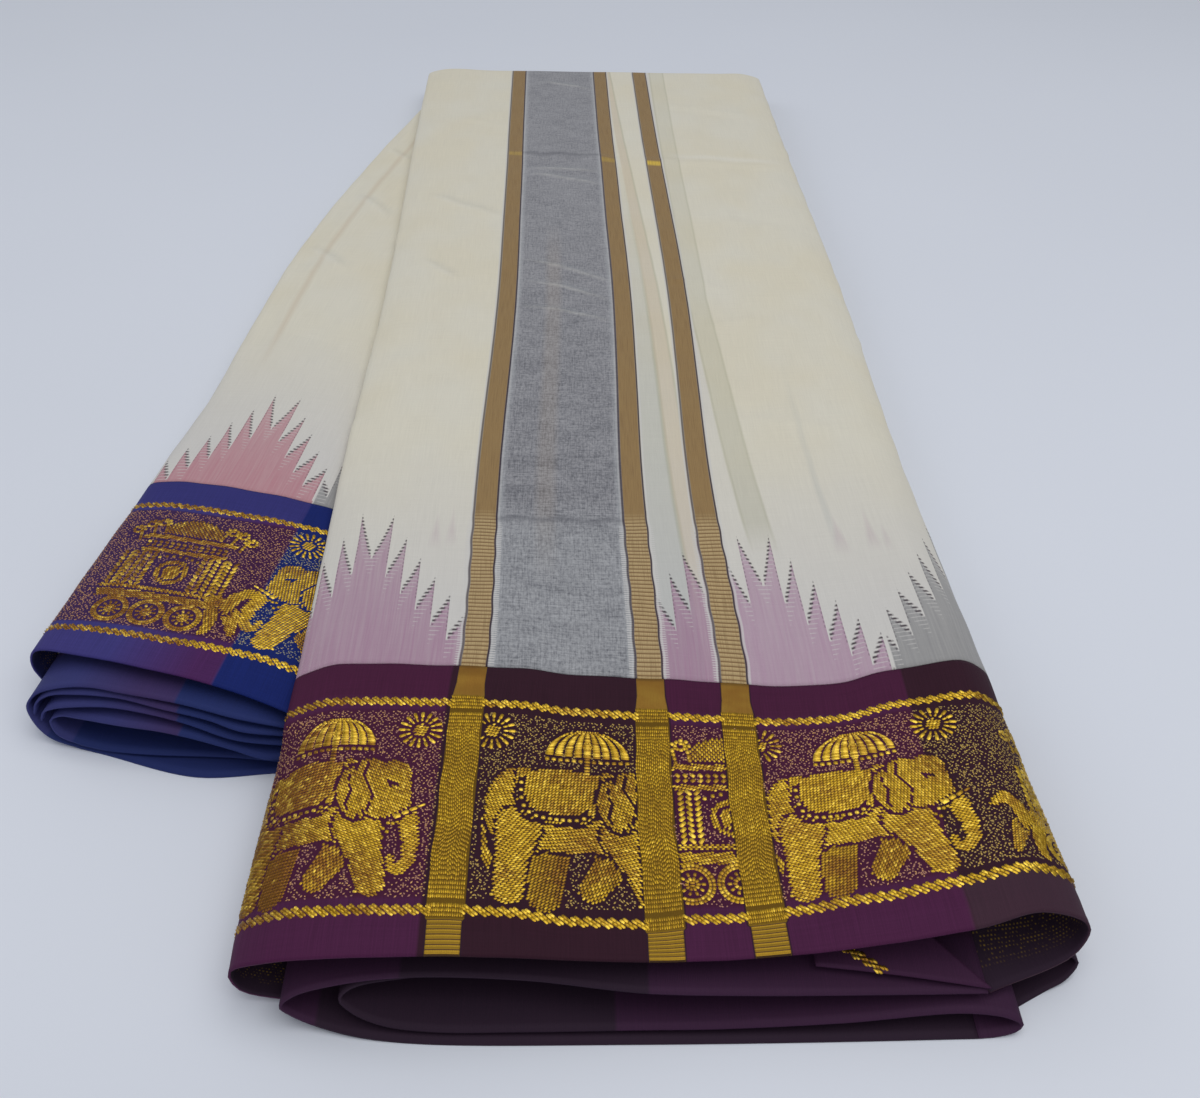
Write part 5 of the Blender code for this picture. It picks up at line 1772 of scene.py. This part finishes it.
def colour_of(name, words, red, green, blue):
    """A colour that a user can change, given as a screen shows it, from 0 to 255."""
    shown = screen(red, green, blue)
    return bpy.props.FloatVectorProperty(
        name=name, description=words, default=shown, subtype="COLOR", size=3, min=0.0, max=1.0,
    )


def length_of(name, words, default, low, high):
    """A length that a user can change, all its numbers in millimetres."""
    return bpy.props.FloatProperty(
        name=name, description=words, default=default * MM, min=low * MM, max=high * MM,
        unit="LENGTH", subtype="DISTANCE",
    )


class DhotiColours(bpy.types.PropertyGroup):
    """Colours of the yarns and of the stage."""

    cream: colour_of("Cream", "Cotton of the body", 227, 222, 206)
    pale: colour_of("Pale cotton", "Whiter cotton near the borders", 213, 210, 207)
    painted_crease_highlight: colour_of("Pressed cotton", "Stretched yarns along a crease", 236, 233, 224)
    # Painted highlight along the tops of the creases and along the far crest.
    warm: colour_of("Warm cotton", "Faint warm clouds in the body", 227, 217, 190)
    # Also painted shade along a fold of the lower body.
    warm_shadow: colour_of("Warm show-through", "Coloured yarn that shows through", 196, 172, 142)
    # Also painted shade at the foot of each sharper crease.
    cool_shadow: colour_of("Cool show-through", "Grey yarn that shows through", 160, 168, 170)
    green_shadow: colour_of("Green show-through", "Green-grey yarn that shows through", 158, 158, 126)
    chambray: colour_of("Chambray", "Grey band between two stripes", 170, 169, 173)
    # Also painted shade along two creases across the grey band.
    chambray_dark: colour_of("Chambray flecks", "Dark flecks of the grey band", 98, 99, 106)
    chambray_pale: colour_of("Pale chambray", "The grey band near the border", 190, 192, 195)
    mauve: colour_of("Mauve", "Temple spikes of the maroon border", 170, 130, 156)
    mauve_pale: colour_of("Pale mauve", "Temple spikes right of the stripes", 181, 147, 170)
    pink: colour_of("Pink", "Temple spikes of the blue border", 188, 127, 139)
    grey_end: colour_of("Grey spikes", "Temple spikes past the last weft block", 146, 145, 146)
    knot: colour_of("Dark yarn", "Outlines and knots", 46, 24, 42)
    stripe: colour_of("Stripe", "Satin of the gold stripes", 166, 136, 90)
    stripe_dark: colour_of("Dark stripe", "Darker yarns of the stripes", 130, 100, 66)
    stripe_pale: colour_of("Pale stripe", "Ribs of the stripes near the border", 205, 180, 134)
    gold: colour_of("Gold", "Zari thread", 200, 161, 42)
    speck: colour_of("Specks", "Thin zari over the dark ground", 178, 150, 88)
    # Also a touch of the painted sheen at the right end of the maroon hem.
    speck_rose: colour_of("Rosy specks", "Thin zari over the purple and plum ground", 180, 130, 110)
    speck_cool: colour_of("Cool specks", "Thin zari over the blue ground", 150, 150, 134)
    gold_flat: colour_of("Flat gold", "Zari of the flat stripes", 176, 138, 44)
    gold_under: colour_of("Gold ground", "Ground under solid zari", 112, 84, 26)
    # Painted glint on the body's stripes where the far crease crosses them; also the colour of the
    # brightest-toned floats.
    glint: colour_of("Bright gold", "Brightest zari", 240, 206, 84)
    # Painted shade on the gold left of a place across each border; also the real brown of flat stripes, some
    # patches and darker floats.
    copper: colour_of("Copper", "Zari in the shade", 136, 88, 38)
    maroon: colour_of("Maroon", "Dark weft of the maroon border", 52, 24, 38)
    purple: colour_of("Purple", "Purple weft of the maroon border", 77, 31, 67)
    wine: colour_of("Wine", "Warp of the maroon border's panel", 70, 22, 48)
    blue: colour_of("Blue", "Blue weft of the blue border", 20, 36, 104)
    wine_blue: colour_of("Blue wine", "Warp of the blue border's panel", 62, 24, 56)
    indigo: colour_of("Indigo", "Indigo weft of the blue border", 62, 57, 122)
    plum: colour_of("Plum", "Plum weft of the blue border", 76, 36, 88)
    # Painted fill light, which lifts the shade of the loose folds, the turned corner and the reverse; the
    # blue one also tints the painted sheen at the right end of the maroon hem.
    dusk: colour_of("Dusk", "Haze of fibres on the maroon half's loose folds", 49, 44, 61)
    dusk_blue: colour_of("Blue dusk", "Haze of fibres on the blue half's loose folds", 54, 64, 108)
    table: colour_of("Table", "Surface that the cloth lies on", 231, 235, 245)


class DhotiSizes(bpy.types.PropertyGroup):
    """Sizes of the cloth's fine surface."""

    wall: length_of("Cloth thickness", "Thickness of the cloth's wall", 0.7, 0.2, SOLID_WALL)
    cell: length_of("Border grid", "Distance between points of the border's grid", 1.35, 1.0, 4.0)
    body_cell: length_of("Body grid", "Distance between points of the body's grid", 2.5, 2.0, 8.0)


class DhotiStage(bpy.types.PropertyGroup):
    """The light and the camera."""

    light: bpy.props.FloatProperty(
        name="Light", description="Power of the soft light overhead", default=9.0, min=0.0, unit="POWER",
    )
    room: bpy.props.FloatProperty(
        name="Room light", description="Strength of the light from all round", default=0.40, min=0.0,
        subtype="FACTOR",
    )
    lens: bpy.props.FloatProperty(
        name="Focal length", description="Focal length of the camera", default=36.0, min=10.0,
        subtype="DISTANCE_CAMERA",
    )


# ---- operators ----


# Steps of a grid round the left and the right side fold: of the borders, and of the bodies. The lower half's
# right side is hidden.
BORDER_SIDES = dict(left=14, right=30)
BODY_SIDES = dict(left=12, right=12, lower=10)
LOWER_WIDE = dict(border=98.0, body=90.0)  # widths that the lower half's grids are counted for
LOWER_END = 550.0  # the run as far as which the lower body shows
TURN_ROWS = 24  # rows of the upper body round the turn


class Builder:
    """What the operators share: they build one group of pieces from the scene's properties."""

    bl_options = {"REGISTER", "UNDO"}

    def execute(self, context):
        """Builds the group."""
        scene = context.scene
        self.build(scene.dhoti_colours, scene.dhoti_sizes)
        return {"FINISHED"}


def border_runs(cell):
    """Rows of a border's grid, evenly from the hem to the seam."""
    return np.linspace(0, BORDER - GAP / 2, round(BORDER / cell))


def body_runs(end, cell):
    """Rows of a body's grid, evenly from the seam to its end."""
    return np.linspace(BORDER + GAP / 2, end, round((end - BORDER) / cell))


def upper_border_grid(cell):
    """The maroon border's grid, pulled and creased."""
    counts = (BORDER_SIDES["left"], round(UPPER_FLAT / cell), BORDER_SIDES["right"])
    return creased(pulled(upper_grid(border_runs(cell), counts), UPPER_PULLS), BORDER_CREASES)


def lower_border_grid(cell):
    """The blue border's grid, pulled, with long waves and no creases of its own."""
    counts = (BORDER_SIDES["left"], round(LOWER_WIDE["border"] / cell))
    return creased(pulled(lower_grid(border_runs(cell), counts), LOWER_PULLS), ())


def upper_body_grid(cell):
    """The upper body's grid: pulled and creased, from the seam round the far turn."""
    counts = (BODY_SIDES["left"], round(UPPER_FLAT / cell), BODY_SIDES["right"])
    turns = np.linspace(0, TURN_END, TURN_ROWS + 1)[1:]
    grid = upper_grid(body_runs(TURN_AT, cell), counts, turns)
    return creased(pulled(grid, UPPER_PULLS), FAR_CREASES + UPPER_CREASES)


def lower_body_grid(cell):
    """The lower body's grid: pulled and creased, from the seam as far as it shows."""
    counts = (BODY_SIDES["lower"], round(LOWER_WIDE["body"] / cell))
    return creased(pulled(lower_grid(body_runs(LOWER_END, cell), counts), LOWER_PULLS), LOWER_CREASES)


# Runs of the hidden layers' rings: how far in the first stands from the loose folds, rings in the border, and
# rings beyond it as far as the end.
UPPER_LAYERS = dict(start=0.4, border=34, body=190, end=TURN_AT)
LOWER_LAYERS = dict(start=1.6, border=34, body=150, end=571.0)
SEAM_STEP = 3.0  # from the last ring of the border to the first one of the body
NOSE_RINGS = 12  # rings round the turn
NOSE_START = 0.03  # radians from its start to the first of them


def layer_runs(start, border, body, end):
    """Runs of the rings, evenly spaced in the border, and evenly again beyond it."""
    return np.r_[np.linspace(FOLD_DEPTH + start, BORDER, border), np.linspace(BORDER + SEAM_STEP, end, body)]


def rings_at(runs, ring, *tables):
    """The ring at each of the runs, from its tables read there."""
    return [ring(*each) for each in zip(runs, *(rows_at(table, runs) for table in tables))]


class DHOTI_OT_layers(Builder, bpy.types.Operator):
    """Build the folded layers inside both halves, whose edges show at the sides"""

    bl_idname = "dhoti.layers"
    bl_label = "Hidden layers"

    def build(self, colours, sizes):
        """Builds both stacks of layers. They have no fine surface, so that the sizes don't change them."""
        runs = layer_runs(**UPPER_LAYERS)
        rings = rings_at(runs, upper_ring, UPPER_TOP, UPPER_WAY, UPPER_EDGE)
        past = (TURN_RADIUS - SOLID_WALL - LAID) * np.sin(np.linspace(NOSE_START, math.pi / 2, NOSE_RINGS))
        rings += [round_turn(rings[-1], p) for p in past]
        material = layered_cloth("folded layers, maroon half", colours, "maroon")
        layered_piece("upper_layers", np.array(rings), np.r_[runs, TURN_AT + past], [material],
                      "cream_cotton", "hidden_layers")
        runs = layer_runs(**LOWER_LAYERS)
        rings = rings_at(runs, lower_ring, LOWER_TOP, LOWER_WAY, LOWER_EDGE)
        material = layered_cloth("folded layers, blue half", colours, "blue")
        layered_piece("lower_layers", np.array(rings), runs, [material], "cream_cotton", "hidden_layers")


def brocade(side, grid, work, materials, seeds):
    """The gold sewn onto a border's grid: a piece for the motifs' floats and one for the ground's specks."""
    motifs, ground = work
    thread, thin = materials
    name = side + "_border_zari"
    floats = thread_mesh(name, grid, motifs, LENS, LENS_FACES, seeds[0])
    zari = piece_of(name, floats, [thread], "gold_zari")
    name = side + "_border_specks"
    tiny = thread_mesh(name, grid, ground, SPECK, SPECK_FACES, seeds[1])
    return [zari, piece_of(name, tiny, [thin], "gold_zari")]


class DHOTI_OT_upper_half(Builder, bpy.types.Operator):
    """Build the upper half: its maroon border with the gold brocade, and its body round the far turn"""

    bl_idname = "dhoti.upper_half"
    bl_label = "Upper half"

    def build(self, colours, sizes):
        """Builds the border, its gold and the body."""
        wall = sizes.wall / MM
        grid = upper_border_grid(sizes.cell / MM)
        front = border_cloth("maroon border", colours, "maroon", MAROON_BLOCKS, STRIPES)
        back = reverse_cloth("maroon border, reverse", colours, "maroon")
        thread = gold_thread("gold zari, maroon half", colours, 16.0, STRIPES)
        thin = speck_thread("thin zari, maroon half", colours, MAROON_BLOCKS, "speck")
        gold = brocade("maroon", grid, maroon_brocade(), (thread, thin), (11, 12))
        sheet_piece("maroon_border_cloth", grid, [front, back], "maroon_border", "border_maroon_top", -1,
                    wall)
        grid = upper_body_grid(sizes.body_cell / MM)
        sheet_piece("upper_body_cloth", grid, [upper_body_cloth(colours)], "cream_cotton", "body_upper", -1,
                    wall)


class DHOTI_OT_lower_half(Builder, bpy.types.Operator):
    """Build the lower half: its blue border with the gold brocade, and its body up to the upper half"""

    bl_idname = "dhoti.lower_half"
    bl_label = "Lower half"

    def build(self, colours, sizes):
        """Builds the border, its gold and the body."""
        wall = sizes.wall / MM
        grid = lower_border_grid(sizes.cell / MM)
        front = border_cloth("blue border", colours, "blue", BLUE_BLOCKS, (), "wine_blue")
        back = reverse_cloth("blue border, reverse", colours, "blue")
        thread = gold_thread("gold zari, blue half", colours, 52.0)
        thin = speck_thread("thin zari, blue half", colours, BLUE_BLOCKS[:1], "speck_cool")
        gold = brocade("blue", grid, blue_brocade(), (thread, thin), (21, 22))
        sheet_piece("blue_border_cloth", grid, [front, back], "blue_border", "border_blue_top", -1,
                    wall)
        grid = lower_body_grid(sizes.body_cell / MM)
        sheet_piece("lower_body_cloth", grid, [lower_body_cloth(colours)], "cream_cotton", "body_lower", -1,
                    wall)


# Where the motifs of the maroon border stand, and the runs of its raised stripes.
WALKERS_AT = ((-13.4, 18.6), (66.6, 18.4), (150.4, 18.2))
SUNS_AT = ((44.8, 76.4), (68.0, 76.8), (152.6, 77.0), (208.0, 76.6))
CAR_AT = (141.4, 18.2)
CAR_SHOWS = (123.0, 142.2)  # the stretch across the cloth in which the car between two stripes shows
END_CAR_AT = (255.0, 18.0)
RAISED = (11.4, 91.4)
MAROON_WIDE = (-40, 262)  # how far across the ropes and the ground run
BLUE_WIDE = (-30, 130)


def clear_of_stripes(work, room):
    """The floats that lie further from every gold stripe than its half width and the room."""
    clear = np.ones(len(work.u), bool)
    for middle in STRIPES:
        clear &= abs(work.u - middle) > RAISED_HALF + room
    return kept(work, clear)


def speck_ground(wide, clear_of):
    """The ground of specks in a border's panel."""
    return specks(*wide, PANEL[0] + 0.4, PANEL[1] - 0.3, clear_of)


def maroon_brocade():
    """The maroon border's gold: elephants under umbrellas, suns and chariots between two ropes, with the
    stripes laid over them, and the ground of specks that fills what is left."""
    walker, disc, car = elephant(), sun(), chariot()
    stripes = joined([stripe_floats(middle, RAISED_HALF, *RAISED) for middle in STRIPES])
    figures = [moved(walker, *place) for place in WALKERS_AT]
    figures[1] = kept(figures[1], figures[1].u < STRIPES[1])
    figures += [moved(disc, *place) for place in SUNS_AT]
    middle_car = moved(car, *CAR_AT)
    figures.append(kept(middle_car, (middle_car.u > CAR_SHOWS[0]) & (middle_car.u < CAR_SHOWS[1])))
    figures.append(moved(car, *END_CAR_AT, flip=True))
    figures = clear_of_stripes(joined(figures), 0.3)
    ropes = clear_of_stripes(joined([rope(v, *MAROON_WIDE) for v in ROPES]), -0.6)
    ground = speck_ground(MAROON_WIDE, joined([figures, stripes]))
    return joined([figures, ropes, stripes]), ground


def blue_brocade():
    """The blue border's gold: a chariot, a sun and an elephant that faces it, between two ropes, and the
    ground of specks."""
    walker, disc, car = elephant(), sun(), chariot()
    figures = joined([moved(car, 32.0, 18.4), moved(disc, 75.0, 77.0), moved(walker, 127.0, 18.4, flip=True)])
    ropes = joined([rope(v, *BLUE_WIDE) for v in ROPES])
    return joined([figures, ropes]), speck_ground(BLUE_WIDE, figures)


FLOOR_LEG = 0.2  # how much lower than the plain walls' middle the thin legs on the table lie
FLOOR_RISE = 3.0  # height over which a leg comes back to the middle
FOLD_STEPS = 12  # steps between two bends of a fold's curve
FOLD_CELL = 1.5  # distance between points along a fold
FOLD_ROWS = 12  # rows of points in from its front edge
# Weft blocks on the loose folds, by the distance along each fold from its first bend.
FOLD_BLOCKS = dict(
    border_maroon_fold_2=(Block(-5, 95, "purple"), Block(164.5, 212, "purple")),
    border_maroon_fold_3=(Block(-5, 128, "purple"),),
    border_maroon_fold_4=(Block(-5, 60, "maroon"),),
    border_blue_fold_2=(Block(41, 112, "indigo"), Block(41, 66, "plum", 0.5, 12)),
    border_blue_fold_3=(Block(41, 120, "indigo"), Block(41, 60, "plum", 0.5, 12)),
    border_blue_fold_4=(Block(41, 120, "indigo"), Block(41, 56, "plum", 0.5, 12)),
    border_blue_fold_5=(Block(41, 100, "indigo"), Block(41, 54, "plum", 0.5, 12)),
)


def fold_grid(bends, hem):
    """A loose fold as a strip of cloth: its front edge is the curve through the fold's bends, read at even
    distances, and each row stands further in, as far as the folds run."""
    curve = section_curve(bends, FOLD_STEPS)
    arc = np.r_[0, np.cumsum(np.linalg.norm(np.diff(curve, axis=0), axis=1))]
    at = np.linspace(0, arc[-1], int(arc[-1] / FOLD_CELL))
    x, z, back = (np.interp(at, arc, column) for column in curve.T)
    middle = SOLID_WALL / 2
    z = np.maximum(z, middle)
    z -= FLOOR_LEG * np.clip(1 - (z - middle) / FLOOR_RISE, 0, 1)
    front = np.stack([x, hem.start + hem.slope * x + back, z], axis=1)
    depth = FOLD_DEPTH - back
    share = np.linspace(0, 1, FOLD_ROWS)[:, None]
    rows = front[None] + share[..., None] * depth[None, :, None] * np.array([*hem.inward, 0.0])
    return Grid(rows, np.tile(at, (len(rows), 1)), share * depth[None])


def loose_folds(folds, hem, colours, ground, painted_fill_colour, wall):
    """The folds that gape below a hem, one sheet each."""
    for node, bends in folds.items():
        name = node.replace("border_", "").replace("_fold", "_loose_fold")
        blocks = FOLD_BLOCKS[node]
        # half a share of painted fill light in this half's cool tint
        material = border_cloth(name.replace("_", " "), colours, ground, blocks, (), painted_fill_share=0.5, painted_fill_colour=painted_fill_colour)
        sheet_piece(name, fold_grid(bends, hem), [material], ground + "_border", node, 0, wall)


def corner_grid():
    """The turned corner: straight between its four corners, with a low half wave across it."""
    corner = Corner(*(np.array(place) for place in CORNER))
    deep, wide = CORNER_CELLS
    inward = np.linspace(0, 1, deep)[:, None, None]
    across = np.linspace(0, 1, wide)[None, :, None]
    left = corner.front_left + (corner.back_left - corner.front_left) * inward
    right = corner.tip + (corner.back_right - corner.tip) * inward
    rows = left + (right - left) * across + CORNER_SWELL * np.sin(math.pi * across) * np.array([0, 0, 1.0])
    v = np.linspace(0, corner.back_left[1], deep)[:, None] + 0 * rows[..., 0]
    return Grid(rows, rows[..., 0] - corner.front_left[0], v)


class DHOTI_OT_loose_folds(Builder, bpy.types.Operator):
    """Build the folds that gape below both hems, and the corner turned up among them"""

    bl_idname = "dhoti.loose_folds"
    bl_label = "Loose folds"

    def build(self, colours, sizes):
        """Builds the folds of both halves, then the corner with its rope."""
        wall = sizes.wall / MM
        loose_folds(MAROON_FOLDS, MAROON_HEM, colours, "maroon", "dusk", wall)
        loose_folds(BLUE_FOLDS, BLUE_HEM, colours, "blue", "dusk_blue", wall)
        # with a smaller share of painted fill light
        maroon = border_cloth("turned corner", colours, "maroon", (Block(-9, 150, "purple"),), (), painted_fill_share=0.4)
        grid = corner_grid()
        work = swung(rope(0, 0, 20), *CORNER_ROPE)
        floats = thread_mesh("maroon_corner_zari", grid, work, LENS, LENS_FACES, 31)
        thread = bpy.data.materials["gold zari, maroon half"]
        zari = piece_of("maroon_corner_zari", floats, [thread], "gold_zari")
        sheet_piece("maroon_turned_corner", grid, [maroon], "maroon_border", "border_maroon_corner", -1,
                    wall)


CAMERA_AT = (0.0247, -0.5236, 0.3237)
CAMERA_DOWN = 0.7119  # radians below level
CAMERA_TURN = 0.0232  # radians to the right of straight ahead
SENSOR = 36.0
TABLE = ((-4, -4, 0), (4, -4, 0), (4, 5, 0), (-4, 5, 0))
SKY = (0.90, 0.94, 1.0, 1.0)
# Square lamps that face the cloth: place and size in metres, share of the light's power, and tint.
Lamp = namedtuple("Lamp", "name place size share tint")
LAMPS = (
    Lamp("overhead", (0.34, -0.2, 1.36), 1.5, 1.0, (1.0, 0.99, 0.97)),
    Lamp("front", (-0.25, -1.5, 0.36), 0.9, 0.2, (0.97, 0.98, 1.0)),
    Lamp("side", (-1.3, 0.6, 1.0), 0.9, 0.3, (0.96, 0.98, 1.0)),
)


class DHOTI_OT_stage(bpy.types.Operator):
    """Build the table, the soft light and the camera"""

    bl_idname = "dhoti.stage"
    bl_label = "Stage"
    bl_options = {"REGISTER", "UNDO"}

    def execute(self, context):
        """Builds the stage."""
        scene = context.scene
        settings, colours = scene.dhoti_stage, scene.dhoti_colours
        mesh = bpy.data.meshes.new("table")
        mesh.from_pydata(TABLE, [], [(0, 1, 2, 3)])
        table = bpy.data.objects.new("table", mesh)
        scene.collection.objects.link(table)
        mesh.materials.append(table_top(colours))
        scene.view_settings.view_transform = "Standard"
        for each in LAMPS:
            light = bpy.data.lights.new(each.name, "AREA")
            light.shape, light.size = "SQUARE", each.size
            light.energy, light.color = settings.light * each.share, each.tint
            lamp = bpy.data.objects.new(each.name, light)
            lamp.location = each.place
            lamp.rotation_euler = Vector(each.place).to_track_quat("Z", "Y").to_euler()
            scene.collection.objects.link(lamp)
        world = bpy.data.worlds.new("room")
        world.use_nodes = True
        background = world.node_tree.nodes["Background"]
        background.inputs["Color"].default_value = SKY
        background.inputs["Strength"].default_value = settings.room
        scene.world = world
        data = bpy.data.cameras.new("view")
        data.lens, data.sensor_width = settings.lens, SENSOR
        camera = bpy.data.objects.new("view", data)
        camera.location = CAMERA_AT
        camera.rotation_euler = (math.pi / 2 - CAMERA_DOWN, 0.0, -CAMERA_TURN)
        scene.collection.objects.link(camera)
        scene.camera = camera
        return {"FINISHED"}


class DHOTI_PT_panel(bpy.types.Panel):
    """Lists the dhoti's groups of pieces and their settings"""

    bl_label = "Folded dhoti"
    bl_idname = "DHOTI_PT_panel"
    bl_space_type = "VIEW_3D"
    bl_region_type = "UI"
    bl_category = "Dhoti"

    def draw(self, context):
        """Draws a button for each group of pieces, and a box for each group of settings."""
        layout = self.layout
        for each in OPERATORS:
            layout.operator(each.bl_idname)
        for group in (context.scene.dhoti_sizes, context.scene.dhoti_stage, context.scene.dhoti_colours):
            box = layout.box()
            for name in group.__annotations__:
                box.prop(group, name)


GROUPS = dict(dhoti_colours=DhotiColours, dhoti_sizes=DhotiSizes, dhoti_stage=DhotiStage)
OPERATORS = (DHOTI_OT_layers, DHOTI_OT_upper_half, DHOTI_OT_lower_half, DHOTI_OT_loose_folds, DHOTI_OT_stage)


def register():
    """Adds the classes to Blender, and the groups of settings to its scenes."""
    for each in (*GROUPS.values(), *OPERATORS, DHOTI_PT_panel):
        bpy.utils.register_class(each)
    for name, group in GROUPS.items():
        setattr(bpy.types.Scene, name, bpy.props.PointerProperty(type=group))


def unregister():
    """Takes both away again."""
    for name in GROUPS:
        delattr(bpy.types.Scene, name)
    for each in reversed((*GROUPS.values(), *OPERATORS, DHOTI_PT_panel)):
        bpy.utils.unregister_class(each)


def corners(box):
    """A box's two corners as plain numbers."""
    return [[float(x) for x in corner] for corner in box]


def main():
    """Builds every group."""
    register()
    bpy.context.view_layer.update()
    bpy.ops.dhoti.layers()
    bpy.ops.dhoti.upper_half()
    bpy.ops.dhoti.lower_half()
    bpy.ops.dhoti.loose_folds()
    bpy.ops.dhoti.stage()


if __name__ == "__main__":
    main()
